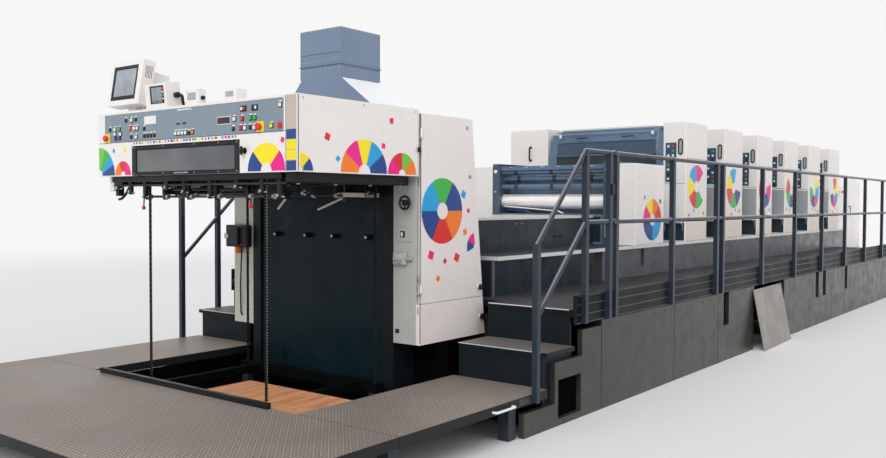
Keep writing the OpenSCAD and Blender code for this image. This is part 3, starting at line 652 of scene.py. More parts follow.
# %% Faces of the press and the parts that repeat on them
UP = (0, 0, 1)
SIDES = ((-1, "operator"), (1, "drive"))
FACES = {
    "delivery": ((0, -1, 0), (0, 0, 1), (-1, 0, 0)), "feeder": ((0, 1, 0), (0, 0, 1), (1, 0, 0)),
    "operator": ((1, 0, 0), (0, 0, 1), (0, -1, 0)), "drive": ((-1, 0, 0), (0, 0, 1), (0, 1, 0)),
    "top": ((1, 0, 0), (0, 1, 0), (0, 0, 1)),
}


def facing(side, depth):
    """Local frame of a face: the place of its plane is counted along the axis that it faces."""
    u, v, w = FACES[side]
    turn = Matrix((u, v, w)).transposed().to_4x4()
    return Matrix.Translation([abs(c) * depth for c in w]) @ turn


def boss(parts, base, radius, shoulder, height, top, material, sides=16, axis=UP):
    """A round head that is straight up to its shoulder and then drawn in."""
    parts.turned(base, axis, [(-0.001, radius), (shoulder, radius), (height, top)], material, sides)


def collar(parts, base, inner, outer, length, material, sides=16):
    """A ring with chamfered ends on a cross shaft."""
    profile = [(0, inner), (0.002, outer), (length - 0.002, outer), (length, inner)]
    parts.turned(base, (0, 1, 0), profile, material, sides)


def screw(parts, u, v, radius=0.006, material=zinc):
    boss(parts, (u, v, 0), radius, 0.0015, 0.003, radius * 0.7, material, 8)


def screws(parts, us, vs, radius=0.006, material=zinc):
    """A screw at each crossing of two sets of lines."""
    for u in us:
        for v in vs:
            screw(parts, u, v, radius, material)


def panel(parts, u0, v0, u1, v1, material, lift=0.003, edge=0.0015):
    """A sheet metal cover plate that stands a little proud."""
    parts.box((u0, v0, -0.001), (u1, v1, lift), material, edge)


def seam(parts, u0, v0, u1, v1, wide=0.004, lift=0.0006):
    """A dark joint line, upright or level."""
    du, dv = (wide / 2, 0) if u0 == u1 else (0, wide / 2)
    panel(parts, u0 - du, v0 - dv, u1 + du, v1 + dv, gap_black, lift, 0.0002)


def handle(parts, start, end, reach, radius, material=black, sides=8, root=-0.001):
    """A bent bar with a leg at each end."""
    parts.tube([(*start, root), (*start, reach), (*end, reach), (*end, root)], radius, material, sides)


def grab(parts, u, v0, v1, reach=0.034, radius=0.007):
    """An upright grab handle on two feet."""
    handle(parts, (u, v0), (u, v1), reach, radius, sides=10, root=-0.002)
    for v in (v0, v1):
        boss(parts, (u, v, 0), radius * 1.9, 0.003, 0.005, radius * 1.4, black, 12)


def key(parts, u, v, color, size=0.011):
    """A square push button in a dark bezel."""
    rim = size + 0.004
    parts.pad(u, v, rim, rim, -0.002, 0.004, black, 0.0012)
    parts.pad(u, v, size, size, 0, 0.009, color)


def stop_button(parts, u, v):
    """An emergency stop: a red mushroom on a yellow plate."""
    parts.pad(u, v, 0.032, 0.032, -0.002, 0.004, "yellow", 0.0015)
    parts.turned((u, v, 0), UP, [(0, 0.014), (0.014, 0.014), (0.016, 0.023), (0.024, 0.023), (0.028, 0.018)],
                 "red", 20)


def cap(parts, u, v, radius, reach, material, sides=20):
    """A round knob cap."""
    profile = [(-0.001, radius * 0.55), (reach * 0.35, radius * 0.55), (reach * 0.4, radius),
               (reach * 0.9, radius), (reach, radius * 0.8)]
    parts.turned((u, v, 0), UP, profile, material, sides)


print("helpers for small parts are ready")

# %% [markdown]
# ## Control panel
# The grey panel over the guard holds rows of square push buttons, two emergency stops and a display.
# Places are (y, z) on the panel. Each button has a blank label strip above it, where there is room.

# %% Control panel
KEYS = {
    "black_ink": [(1.002, 2.018), (0.797, 2.076), (0.675, 2.077), (0.573, 2.008), (0.733, 1.957),
                  (0.059, 1.954), (-0.401, 1.958), (-0.563, 1.960), (0.572, 1.957), (0.532, 1.957),
                  (0.492, 1.957), (0.452, 1.957)],
    "white_ink": [(0.939, 2.018), (0.939, 1.986), (0.867, 1.984), (0.725, 2.075), (0.694, 2.016),
                  (0.658, 2.016), (0.670, 1.954), (0.204, 1.958), (0.168, 1.958), (0.132, 1.958),
                  (0.096, 1.958), (-0.412, 2.020), (-0.515, 1.959), (-0.604, 1.958), (-0.840, 2.082)],
    "green": [(0.880, 2.018), (-0.607, 2.017), (-0.567, 2.018)], "navy": [(0.930, 1.953), (0.878, 1.954)],
    "orange": [(0.749, 2.019), (0.020, 1.959)], "red": [(-0.487, 2.018), (-0.472, 1.960)],
    "yellow": [(-0.761, 1.961)],
}
desk = Parts("control_panel_fittings", "black_paint").face("delivery", station("control_panel", 0))
every = [place for places in KEYS.values() for place in places]
for color, places in KEYS.items():
    for y, z in places:
        key(desk, -y, z, color, 0.009 if color == "black_ink" else 0.0115)
        if not any(abs(y - a) < 0.03 and 0 < b - z < 0.04 for a, b in every):
            panel(desk, -y - 0.013, z + 0.019, -y + 0.013, z + 0.026, "white_ink", 0.0008, 0.0003)
stop_button(desk, -1.040, 1.958)
stop_button(desk, 0.657, 1.960)
for u, left, other in ((0.499, "white_ink", "red"), (0.607, "black_ink", "white_ink")):
    desk.pad(u, 2.080, 0.028, 0.018, -0.002, 0.006, black)
    for shift, color in ((-0.012, left), (0.012, other)):
        desk.pad(u + shift, 2.080, 0.008, 0.010, 0, 0.011, color)
desk.turned((0.836, 1.961, 0), UP, [(0, 0.020), (0.006, 0.020), (0.007, 0.015), (0.014, 0.013)], "red")
panel(desk, 0.236, 1.990, 0.372, 2.043, pale_steel, 0.002)
panel(desk, 0.241, 1.996, 0.367, 2.037, "dark_red", 0.003)
for k in range(4):
    panel(desk, 0.250 + k * 0.029, 2.003, 0.272 + k * 0.029, 2.030, "black_ink", 0.0036, 0.0005)
panel(desk, -0.573, 2.036, -0.435, 2.092, "white_ink", 0.0015)
panel(desk, -0.188, 2.108, -0.033, 2.120, pale_steel, 0.0012)
for u in (-0.181, -0.112):
    panel(desk, u - 0.020, 2.014, u + 0.020, 2.029, "dark_red", 0.001)
screws(desk, (-1.063, -0.35, 0.10, 0.861), (1.932, 2.117), 0.005)
desk.done()

# %% [markdown]
# ## Delivery head
# A beige strip covers the near corner of the head. Thin joints show where its covers meet.

# %% Head
head = Parts("head_trim", "white_enamel").face("delivery", HEAD)
panel(head, 0.894, HEAD_LOW + 0.006, 0.982, HEAD_TOP - 0.006, beige, 0.002)
seam(head, 0.889, HEAD_LOW + 0.004, 0.889, HEAD_TOP - 0.004)
seam(head, -1.150, 1.9235, 0.889, 1.9235, 0.003)
bars = ["magenta", "cyan", "yellow", "red", "green", "navy"]
for k in range(34):
    u = -0.705 + k * 0.034
    panel(head, u, 1.903, u + 0.012 + 0.018 * random.random(), 1.918, bars[(k * 5) % 6], 0.0008, 0.0003)
head.face("operator", HEAD_NEAR)
seam(head, 1.362, HEAD_LOW + 0.006, 1.362, HEAD_TOP - 0.006, 0.006)
screws(head, (1.40, 2.44), (1.70, 2.12), 0.007)
screw(head, 1.92, 2.12, 0.007)
head.face("drive", HEAD_FAR)
screws(head, (-1.40, -1.92, -2.44), (1.70, 2.12), 0.007)
seam(head, -1.915, HEAD_LOW + 0.004, -1.915, HEAD_TOP - 0.004)
head.face("top", HEAD_TOP)
seam(head, 1.475, -0.980, 1.475, 1.150)
for y in (-0.62, -0.20, 0.62):
    panel(head, 1.60, y, 2.30, y + 0.34, white, 0.006, 0.002)
    handle(head, (1.90, y + 0.17), (2.00, y + 0.17), 0.030, 0.005, root=0)
head.done()

# %% Screen, instrument box and junction box
screens = Parts("screen_fittings", "white_enamel")
tilt = Matrix.Translation((HEAD + 0.066, 0.949, HEAD_TOP + 0.061)) @ Matrix.Rotation(math.radians(9), 4, "Y")
screens.on(tilt @ facing("delivery", 0.008))
for edges in ((-0.168, 0.041, -0.146, 0.294), (0.121, 0.041, 0.143, 0.294),
              (-0.146, 0.041, 0.121, 0.070), (-0.146, 0.272, 0.121, 0.294)):
    panel(screens, *edges, black, 0.007, 0.003)
panel(screens, -0.148, 0.068, 0.123, 0.274, display, 0.002)
screens.on(tilt @ facing("operator", -0.199))
for k in range(5):
    seam(screens, 0.030 + k * 0.012, 0.20, 0.030 + k * 0.012, 0.29)
screens.on()
screens.tube([(1.60, 0.76, 2.34), (1.61, 0.70, 2.33), (1.62, 0.66, 2.20), (1.66, 0.64, 2.15)], 0.006, black)
lean = Matrix.Translation((HEAD + 0.030, 0, HEAD_TOP)) @ Matrix.Rotation(math.radians(-5), 4, "Y")
screens.on(lean @ facing("delivery", 0.004))
panel(screens, -0.534, 0.035, -0.372, 0.155, black, 0.002)
panel(screens, -0.515, 0.052, -0.398, 0.146, display)
for k in range(5):
    panel(screens, -0.510 + 0.024 * k, 0.040, -0.494 + 0.024 * k, 0.048, unit_grey)
for k, color in enumerate(("white_ink", "green", "white_ink", "orange")):
    screens.box((-0.391, 0.060 + 0.023 * k, 0.001), (-0.378, 0.072 + 0.023 * k, 0.006), color, 0.001)
screens.on()
screens.turned((1.455, 0.345, 2.235), (0, -1, 0),
               [(-0.002, 0.020), (0.030, 0.020), (0.032, 0.013), (0.050, 0.010)], black)
screens.tube([(1.455, 0.297, 2.235), (1.455, 0.272, 2.225), (1.46, 0.27, 2.18), (1.47, 0.27, 2.147)],
             0.011, black, 10)
screens.face("delivery", HEAD + 0.095)
panel(screens, -0.205, HEAD_TOP + 0.046, -0.112, HEAD_TOP + 0.096, unit_grey, 0.0015)
screws(screens, (-0.216, -0.090), (HEAD_TOP + 0.030, HEAD_TOP + 0.108), 0.004)
screens.face("operator", 0.080)
screens.turned((HEAD + 0.124, HEAD_TOP + 0.058, 0), UP, [(-0.001, 0.014), (0.012, 0.014), (0.014, 0.009),
               (0.026, 0.007)], black)
screens.on()
screens.box((1.500, -0.240, HEAD_TOP), (1.600, -0.120, HEAD_TOP + 0.105), white, 0.006)
screens.face("delivery", 1.500)
panel(screens, 0.140, HEAD_TOP + 0.050, 0.220, HEAD_TOP + 0.085, unit_grey, 0.0015)
screens.done()

# %% [markdown]
# ## Window guard
# A smoked pane sits in the guard's dark frame. It swings with the guard, and its latch stays on the head.

# %% Window guard
guard = Parts("guard_pane", "guard_grey", "hinged_guard").face("delivery", HEAD + 0.008)
guard.box((-0.676, 1.702, -0.0005), (0.410, 1.864, 0.002), smoked, 0.001)
for u in (-0.676, 0.404):
    guard.box((u, 1.702, 0), (u + 0.006, 1.864, 0.0045), rubber, 0.001)
for v in (1.702, 1.858):
    guard.box((-0.670, v, 0), (0.404, v + 0.006, 0.0045), rubber, 0.001)
guard.face("delivery", HEAD)
screws(guard, (-0.700, -0.35, 0.0, 0.25, 0.434), (1.694, 1.879), 0.0045)
handle(guard, (-0.20, 1.693), (-0.06, 1.693), 0.022, 0.005, zinc)
guard.done()
latch = Parts("guard_latch", "black_paint").face("delivery", HEAD)
latch.turned((0.511, 1.818, 0), UP, [(-0.001, 0.020), (0.004, 0.020), (0.005, 0.011), (0.018, 0.011),
             (0.020, 0.019), (0.034, 0.019), (0.037, 0.014)], black, 24)
latch.pad(0.511, 1.818, 0.006, 0.028, 0.020, 0.034, black, 0.003)
latch.done()

# %% [markdown]
# ## Exhaust hood
# The hood is folded from grey sheet, riveted along its rim and at its corners. Its near flare is a plain
# galvanised sheet.

# %% Exhaust hood
hood = Parts("hood_rivets", "hood_grey")
x0, x1, y0, y1 = 2.400, 2.820, -0.311, 0.109
for z in (2.485, 2.545, 2.770):
    for k in range(9):
        t = 0.02 + k * 0.0475
        for place, axis in (((x0, y0 + t, z), (-1, 0, 0)), ((x1, y0 + t, z), (1, 0, 0)),
                            ((x0 + t, y0, z), (0, -1, 0)), ((x0 + t, y1, z), (0, 1, 0))):
            boss(hood, place, 0.005, 0.0015, 0.003, 0.003, zinc, 8, axis)
for x in (x0, x1):
    for y in (y0, y1):
        for low, high in ((2.419, 2.510), (2.519, 2.780)):
            hood.box((x - 0.0035, y - 0.0035, low), (x + 0.0035, y + 0.0035, high), hood_grey, 0.001)
hood.face("delivery", x0)
seam(hood, -0.109, 2.600, 0.311, 2.600, 0.003)
flare_low, flare_high = -0.687, 0.339
slope = math.atan2(0.272, 0.376)
hood.on(Matrix.Translation((x0, flare_low, HEAD_TOP)) @ Matrix.Rotation(slope, 4, "X"))
hood.box((0.008, 0.014, -0.001), (0.412, 0.456, 0.003), hood_pale, 0.001)
screws(hood, (0.020, 0.210, 0.400), (0.026, 0.24, 0.444), 0.004)
hood.on()
for y in (flare_low, flare_high):
    hood.box((x0 - 0.006, y - 0.010, HEAD_TOP), (x1 + 0.006, y + 0.010, HEAD_TOP + 0.004), hood_grey, 0.001)
hood.done()

# %% [markdown]
# ## Side housings
# The near housing's front carries a switch, a label box and a small handwheel, and the far one an air
# filter. The door's knob swings with the door.

# %% Side housings
side = Parts("housing_fittings", "black_paint").face("delivery", COLUMN)
panel(side, 0.790, 1.220, 0.930, 1.330, unit_grey, 0.004)
# The near housing's fittings in its enamel share its painted shade.
panel(side, 0.798, 1.228, 0.922, 1.322, shaded_column, 0.006)
panel(side, 0.826, 1.254, 0.872, 1.300, "black_ink", 0.0075)
panel(side, 0.835, 1.262, 0.852, 1.290, "white_ink", 0.009, 0.0005)
side.box((0.775, 1.060, -0.001), (0.890, 1.150, 0.030), shaded_column, 0.012)
side.turned((0.832, 1.105, 0.029), UP, [(0, 0.034), (0.012, 0.032), (0.014, 0.020)], shaded_column, 24)
side.rod((0.860, 1.105, 0.020), (0.945, 1.105, 0.020), 0.011, unit_grey)
side.box((0.800, 1.094, 0.040), (0.864, 1.116, 0.058), unit_grey, 0.005)
panel(side, 0.780, 0.575, 0.815, 0.605, "black_ink", 0.004)
hub_u, hub_v, wheel_r, wheel_w = 0.905, 1.497, 0.045, 0.050
side.turned((hub_u, hub_v, 0), UP, [(-0.001, 0.014), (0.035, 0.014), (0.036, 0.022), (0.055, 0.022)], black)


def rim(angle):
    return hub_u + wheel_r * math.cos(angle), hub_v + wheel_r * math.sin(angle), wheel_w


side.tube([rim(k * math.pi / 12) for k in range(24)], 0.008, black, 8, closed=True)
for angle in (0.5, 2.6, 4.7):
    side.rod((hub_u, hub_v, wheel_w), rim(angle), 0.005, black, 8)
side.rod((0.948, 1.505, wheel_w), (0.948, 1.505, 0.078), 0.007, black, 12)
for v in (0.72, 0.94, 1.62):
    seam(side, 0.985, v, 0.985, v + 0.05, 0.006)
side.box((-1.040, 1.130, -0.001), (-0.775, 1.310, 0.060), black, 0.008)
side.box((-1.000, 1.150, 0.050), (-0.860, 1.290, 0.085), rubber, 0.012)
side.turned((-0.905, 1.080, 0.035), (0, 1, 0), [(0, 0.020), (0.010, 0.026), (0.045, 0.026), (0.052, 0.020)],
            "orange", 20)
side.turned((-1.000, 1.220, 0.084), UP, [(0, 0.026), (0.004, 0.026), (0.006, 0.022)], pale_steel, 24)
side.on()
side.tube([(2.44, 0.86, 1.13), (2.44, 0.87, 1.00), (2.455, 0.90, 0.80), (2.46, 0.90, 0.58),
           (2.49, 0.90, 0.55)], 0.006, rubber)
side.face("operator", COVER_NEAR)
seam(side, 2.479, 0.520, 2.479, 2.110, 0.006, 0.002)
side.box((2.452, 1.845, -0.001), (2.474, 1.880, 0.014), black, 0.003)
side.face("operator", -0.996)
cap(side, 3.200, 0.640, 0.021, 0.034, black)
side.done()

door = Parts("door_fittings", "black_paint", "hinged_door").face("operator", COVER_NEAR)
cap(door, 3.176, 0.864, 0.021, 0.030, black)
boss(door, (3.020, 2.050, 0), 0.016, 0.002, 0.003, 0.012, unit_grey, 24)
door.pad(3.020, 2.050, 0.0015, 0.009, 0.002, 0.0038, gap_black, 0.0003)
door.done()

# %% Back panel knobs
knobs = Parts("back_panel_knobs", "teal_paint").face("delivery", station("back_panel", 0))
for u in (-0.470, -0.125, 0.167, 0.514):
    boss(knobs, (u, 1.246, 0), 0.020, 0.003, 0.005, 0.015, black, 20)
    knobs.turned((u, 1.246, 0.004), UP, [(0, 0.009), (0.004, 0.009), (0.005, 0.007)], "white_ink", 16)
knobs.face("delivery", 2.495)
screws(knobs, (-0.655, 0.655), (0.15, 0.52, 0.90, 1.36, 1.58), 0.007, black)
for u in (-0.640, 0.640):
    seam(knobs, u, 0.12, u, 1.60, 0.003)
knobs.done()

# %% [markdown]
# ## Joggers under the head
# The joggers line the sheets up on the pile. They hang on cross shafts with collars, springs, small
# brackets and hand levers, nearly all of them black.

# %% Joggers
jog = Parts("jogger_fittings", "black_paint")
for x, z in ((1.475, 1.535), (1.720, 1.560), (2.020, 1.545), (2.330, 1.560)):
    jog.rod((x, -0.70, z), (x, 0.70, z), 0.009, dark_steel)
    for y in (-0.66, -0.44, -0.12, 0.18, 0.46, 0.67):
        collar(jog, (x, y, z), 0.016, 0.018, 0.024, zinc, 16)
        jog.box((x - 0.016, y + 0.030, z - 0.022), (x + 0.016, y + 0.052, HEAD_LOW), black, 0.003)
for y, x in ((-0.30, 1.47), (0.05, 1.47), (0.33, 1.47), (-0.55, 1.72), (0.60, 1.72), (-0.20, 2.02)):
    coil = [(x - 0.030 + 0.011 * math.cos(k * 0.9), y + 0.0035 * k, 1.600 + 0.011 * math.sin(k * 0.9))
            for k in range(30)]
    jog.tube(coil, 0.0022, zinc, 6, 0.001)
for y in (-0.88, 0.98):
    jog.box((1.400, y - 0.050, 1.615), (2.440, y + 0.050, HEAD_LOW), black, 0.006)
    for x in (1.46, 1.78, 2.10, 2.40):
        boss(jog, (x, y, 1.615), 0.012, 0.007, 0.009, 0.009, zinc, 6, (0, 0, -1))
jog.box((1.395, -0.80, 1.640), (1.440, 1.05, HEAD_LOW), black, 0.004)
jog.rod((1.420, -0.82, 1.615), (1.420, 1.06, 1.615), 0.008, dark_steel)
for k, y in enumerate((-0.76, -0.60, -0.36, -0.08, 0.20, 0.40, 0.66, 0.84, 1.00)):
    low = 1.520 + 0.030 * (k % 3)
    jog.box((1.408, y - 0.018, low), (1.432, y + 0.018, 1.660), black, 0.004)
    boss(jog, (1.404, y, low + 0.020), 0.010, 0.006, 0.008, 0.008, zinc, 6, (-1, 0, 0))
    jog.rod((1.420, y - 0.04, low + 0.012), (1.420, y + 0.04, low + 0.012), 0.006, zinc, 10)
BALL = [(0, 0.005), (0.004, 0.011), (0.011, 0.014), (0.018, 0.014), (0.025, 0.010), (0.028, 0.004)]
for y, z in ((0.753, 1.455), (-0.433, 1.473)):
    jog.tube([(1.50, y, 1.60), (1.47, y, 1.54), (1.465, y, z)], 0.005, black)
    jog.turned((1.465, y, z + 0.014), (0, 0, -1), BALL, "red", 16)
jog.tube([(1.46, 0.930, 1.600), (1.455, 0.960, 1.555), (1.450, 1.010, 1.520), (1.450, 1.045, 1.515)],
         0.010, black, 10)
jog.box((1.41, 1.055, 1.575), (1.50, 1.105, HEAD_LOW), cream, 0.006)
jog.box((1.43, 1.020, 1.540), (1.48, 1.060, 1.600), black, 0.004)
for start, end in (((1.900, -0.290, 1.534), (1.900, -0.197, 1.451)),
                   ((2.200, -0.551, 1.536), (2.200, -0.282, 1.446))):
    jog.rod(start, end, 0.0085, pale_steel)
    jog.turned(start, (0, -1, 0), [(-0.014, 0.016), (0.014, 0.016)], black)
jog.box((2.110, -0.630, 1.535), (2.470, -0.570, 1.566), beige, 0.003)
jog.rod((2.140, -0.60, 1.500), (2.140, -0.60, HEAD_LOW), 0.010, dark_steel)
for y in (-0.48, 0.48):
    jog.rod((1.540, y, 1.575), (2.450, y, 1.575), 0.012, black)
for x, y in ((1.62, -0.40), (1.84, 0.02), (2.30, -0.30)):
    jog.box((x - 0.028, y - 0.028, 1.560), (x + 0.028, y + 0.028, HEAD_LOW), dark_steel, 0.004)
    profile = [(-0.001, 0.011), (0.020, 0.011), (0.022, 0.014), (0.034, 0.014), (0.036, 0.010)]
    jog.turned((x, y - 0.028, 1.610), (0, -1, 0), profile, zinc)
for k, y in enumerate((-0.70, -0.64, 0.64, 0.70)):
    path = [(1.48 + 0.03 * k, y, 1.685), (1.70, y + 0.03, 1.60), (2.05, y - 0.02, 1.62), (2.40, y, 1.685)]
    jog.tube(path, 0.005, rubber, 8, 0.1)
jog.done()

# %% [markdown]
# ## Hoist chains
# The four chains are plain roller chains of 19 mm pitch. Inner and outer links lie in turn, each a pair
# of rounded plates on pins and rollers. The chains end in bolted blocks on the floor.

# %% Hoist chains
chains = Parts("roller_chains", "chain_steel")
CHAIN_PITCH = 0.01905
bow = [math.radians(15 * k) for k in range(-6, 7, 2)]
link = [(0.0068 * math.cos(a), 0.0068 * math.sin(a)) for a in bow]
outline = [(CHAIN_PITCH + x, z) for x, z in link] + [(-x, -z) for x, z in link]
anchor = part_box("pile_carrier")[0].z
for x, reach in ((1.431, 0.620), (2.360, 0.690)):
    pins = zinc if x < 2 else chain_steel
    for y in (-reach, reach):
        chains.on()
        chains.box((x - 0.030, y - 0.035, 0), (x + 0.030, y + 0.035, anchor - 0.002), dark_steel, 0.003)
        for dz in (0.04, 0.12):
            boss(chains, (x - 0.030, y, dz), 0.010, 0.006, 0.008, 0.008, zinc, 6, (-1, 0, 0))
        for k in range(int((HEAD_LOW - anchor) / CHAIN_PITCH)):
            z = anchor + 0.004 + k * CHAIN_PITCH
            near, far = (0.0040, 0.0056) if k % 2 else (0.0062, 0.0078)
            chains.on(Matrix(((0, 1, 0, x), (0, 0, 1, y), (1, 0, 0, z), (0, 0, 0, 1))))
            chains.prism(outline, near, far, chain_steel)
            chains.prism(outline, -far, -near, chain_steel)
            chains.turned((0, 0, -0.0090), UP, [(0, 0.0036), (0.0180, 0.0036)], pins, 8)
            chains.turned((0, 0, -0.0038), UP, [(0, 0.0056), (0.0076, 0.0056)], chain_steel, 8)
chains.done(replaces=["hoist_chains"])

# %% [markdown]
# ## Platform and pit
# The pit's floor and walls, and two upright sheets beside the steps, are near-black: painted shade for the
# dark pit.
# The platform has joints between its plates, screws near its edges, and a lifting handle on its near side.

# %% Platform and pit
# These near-black sheets in the pit and beside the steps are painted shade.
pit = Parts("pit_painted_shade_sheets", "dark_steel")
walls = [((1.270, -1.078, 0.001), (2.740, 1.078, 0.004)), ((1.262, -1.078, 0.004), (1.266, 1.078, 0.208)),
         ((2.700, -1.078, 0.004), (2.704, 1.078, 0.500))]
walls += [((1.266, y, 0.004), (2.740, y + 0.004, 0.208)) for y in (-1.084, 1.080)]
walls += [((2.870, y, 0.020), (3.490, y + 0.004, 0.420)) for y in (-1.8225, 1.8185)]
for low, high in walls:
    pit.box(low, high, pit_painted_shade, 0.001)
pit.done()
walk = Parts("platform_fittings", "chequer_plate").face("operator", -WALK)
handle(walk, (2.13, 0.235), (2.34, 0.235), 0.028, 0.008, "white_ink", 10, -0.002)
panel(walk, 2.42, 0.222, 2.62, 0.262, plinth_paint)
screws(walk, (2.44, 2.60), (0.242,), material=black)
seam(walk, 1.300, 0.214, 1.300, 0.268)
walk.face("top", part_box("delivery_platform")[1].z)
screws(walk, [1.33 + k * 0.33 for k in range(5)], (-1.82, -1.10, 1.10, 1.82), 0.008)
screws(walk, (0.06, 1.19), [-1.80 + k * 0.45 for k in range(9)], 0.008)
walk.done()

# %% [markdown]
# ## Gangways
# The toe boards have ribs, the railing feet have bolts, and short sleeves sit on the rails where they
# turn down to the stair. The tread edges are worn bright.

# %% Gangways and railings
rails = Parts("gangway_fittings", "rail_paint")
POSTS = [3.220, 3.575, 3.675, 4.705, 5.700] + [5.850 + 1.1421 * k for k in range(8)]
for turn, face in SIDES:
    rails.face(face, turn * WALK)
    for x in POSTS:
        for v in (0.700, 0.800):
            boss(rails, (-turn * x, v, 0.036), 0.011, 0.0028, 0.0038, 0.009, zinc, 6)
    start, end = sorted((-turn * 3.15, -turn * 13.88))
    for v in (0.662, 0.722, 0.790, 0.852):
        panel(rails, start, v - 0.004, end, v + 0.004, toe_edge, 0.003, 0.001)
    for k in range(10):
        u = -turn * (3.60 + k * 1.06)
        seam(rails, u, 0.665, u, 0.852, 0.004, 0.0012)
    rails.on()
    for z in (1.865, 1.365):
        rails.turned((3.640, turn * 1.88, z), (0, 1, 0), [(-0.0195, 0.020), (0.0195, 0.020)], rail_paint, 12)
    near, far = sorted((turn * 1.135, turn * 1.815))
    for front, rear, low, high in ((3.134, 3.144, 0.506, 0.511), (2.744, 2.754, 0.506, 0.511),
                                   (3.114, 3.122, 0.754, 0.7615)):
        rails.box((front, near, low), (rear, far, high), pale_steel, 0.001)
rails.box((7.080, -1.912, 1.390), (7.150, -1.860, 1.405), "white_ink", 0.003)
rails.box((3.560, -1.915, 1.560), (3.600, -1.862, 1.640), black, 0.004)
rails.done()

panels = Parts("plinth_panel_fittings", "plinth_grey")
PANELS, MISSING = 10, 3
for turn, face in SIDES:
    panels.face(face, turn * WALK)
    for k in range(PANELS):
        if turn < 0 and k == MISSING:
            continue
        for dx in (0.0, 0.83):
            for v in (0.05, 0.61):
                place = (-turn * (3.62 + k * 1.0095 + dx), v, 0)
                boss(panels, place, 0.009, 0.002, 0.0035, 0.006, plinth_paint, 12)
panels.done()

# %% [markdown]
# ## Long delivery
# Between the head and the coating unit the sheets travel in a low dark tunnel with a bright top plate.

# %% Long delivery
tunnel = Parts("long_delivery_fittings", "dark_steel")
for (turn, face), ledge_end, base_side in zip(SIDES, (-0.985, 1.305), (-0.940, 1.060)):
    tunnel.face(face, turn * 0.520)
    seam(tunnel, -turn * 4.470, 0.66, -turn * 4.470, 1.34, 0.006)
    screws(tunnel, [-turn * x for x in (3.30, 4.42, 4.52, 5.78)], (0.72, 1.02, 1.31), 0.007)
    for x in (3.85, 5.15):
        handle(tunnel, (-turn * x - 0.06, 1.18), (-turn * x + 0.06, 1.18), 0.030, 0.006)
    tunnel.face("top", LEDGE)
    near, far = sorted((turn * 0.530, ledge_end))
    panel(tunnel, 3.470, near, 5.840, far, teal, 0.003, 0.001)
    tunnel.face(face, base_side)
    start, end = sorted((-turn * 3.475, -turn * 5.100))
    panel(tunnel, start, 0.664, end, 1.043, teal, 0.0015, 0.001)
    for x, half, low in ((3.856, 0.008, 0.72), (4.200, 0.022, 0.88), (5.190, 0.080, 0.69),
                         (6.150, 0.030, 0.86)):
        panel(tunnel, -turn * x - half, low, -turn * x + half, 1.035, gap_black, 0.003, 0.001)
tunnel.face("delivery", BASE)
panel(tunnel, -1.052, 0.664, 0.932, 1.043, teal, 0.0015, 0.001)
tunnel.face("top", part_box("delivery_top_plate")[1].z)
for x in (3.85, 4.48, 5.14):
    seam(tunnel, x, -0.525, x, 0.525)
screws(tunnel, (3.20, 3.75, 3.95, 4.40, 4.58, 5.05, 5.25, 5.80), (-0.50, 0.0, 0.50))
tunnel.face("delivery", 3.110)
panel(tunnel, -0.44, 0.74, 0.44, 1.24, teal, 0.004)
tunnel.done()

# %% [markdown]
# ## Coating unit
# Its roller runs between blue-grey side frames under three cross bars. Valves, hoses and bearing caps
# sit on the frames.

# %% Coating unit
coat = Parts("coating_fittings", "frame_blue")
for turn, face in SIDES:
    coat.face(face, turn * 0.730)
    for x, z, radius in ((5.965, 1.515, 0.060), (5.925, 1.677, 0.032), (5.985, 1.767, 0.038)):
        if turn > 0 or x > 5.95:
            boss(coat, (-turn * x, z, 0), radius, 0.003, 0.0045, radius * 0.8, zinc, 24)
    coat.face("delivery", COAT)
    u = -turn * 0.690
    boss(coat, (u, 1.845, 0), 0.020, 0.010, 0.014, 0.014, "white_ink", 20)
    boss(coat, (u, 1.620, 0), 0.014, 0.008, 0.010, 0.010, zinc, 6)
    panel(coat, u - 0.030, 1.15, u + 0.030, 1.32, unit_grey)
coat.on()
for x, z, radius in ((5.925, 1.677, 0.0283), (5.985, 1.767, 0.0343), (5.915, 1.837, 0.0243)):
    for y in (-0.47, -0.02, 0.43):
        collar(coat, (x, y, z), radius, radius + 0.005, 0.040, dark_steel, 20)
for k in range(6):
    y = -0.50 + 0.2 * k
    coat.box((5.868, y - 0.020, 1.880), (5.876, y + 0.020, 1.892), zinc)
for k, color in enumerate(("navy", rubber, "white_ink")):
    coat.tube([(5.900, 0.60, 1.40 + 0.03 * k), (5.872, 0.55, 1.42 + 0.02 * k), (5.872, 0.30 - 0.2 * k, 1.415),
               (5.900, 0.25 - 0.2 * k, 1.39)], 0.006, color)
coat.face("delivery", 5.875)
panel(coat, -0.60, 1.10, 0.60, 1.36, teal)
screws(coat, (-0.56, -0.19, 0.19, 0.56), (1.12, 1.34))
coat.face("delivery", 6.075)
for u in (-0.32, 0, 0.32):
    seam(coat, u, 1.40, u, 1.85)
coat.done()

# %% [markdown]
# ## Printing units
# All six units are alike, so one loop dresses them. Each has a key strip and a long handle on its
# delivery side, covers with thin joints, a guard with latches, and blanking plates on its frames.

# %% Printing units
units = Parts("unit_fittings", "white_enamel")


def tall_handle(u, v0, v1):
    """A long oval pull handle with a pale pad inside."""
    oval = []
    for k in range(24):
        a = math.pi * k / 12
        v = (v0 + v1) / 2 + math.copysign((v1 - v0) / 2 - 0.022, math.sin(a)) + 0.022 * math.sin(a)
        oval.append((u + 0.022 * math.cos(a), v, 0.010))
    units.prism([(x, y) for x, y, z in oval], -0.001, 0.006, unit_grey, 0.001)
    units.tube(oval, 0.007, black, 8, closed=True)


def hand_bar(u0, u1, foot, top, reach, radius):
    """A blue bar on two legs that lean out."""
    units.tube([(u0, foot, 0.002), (u0, top, reach), (u1, top, reach), (u1, foot, 0.002)], radius, frame_blue)


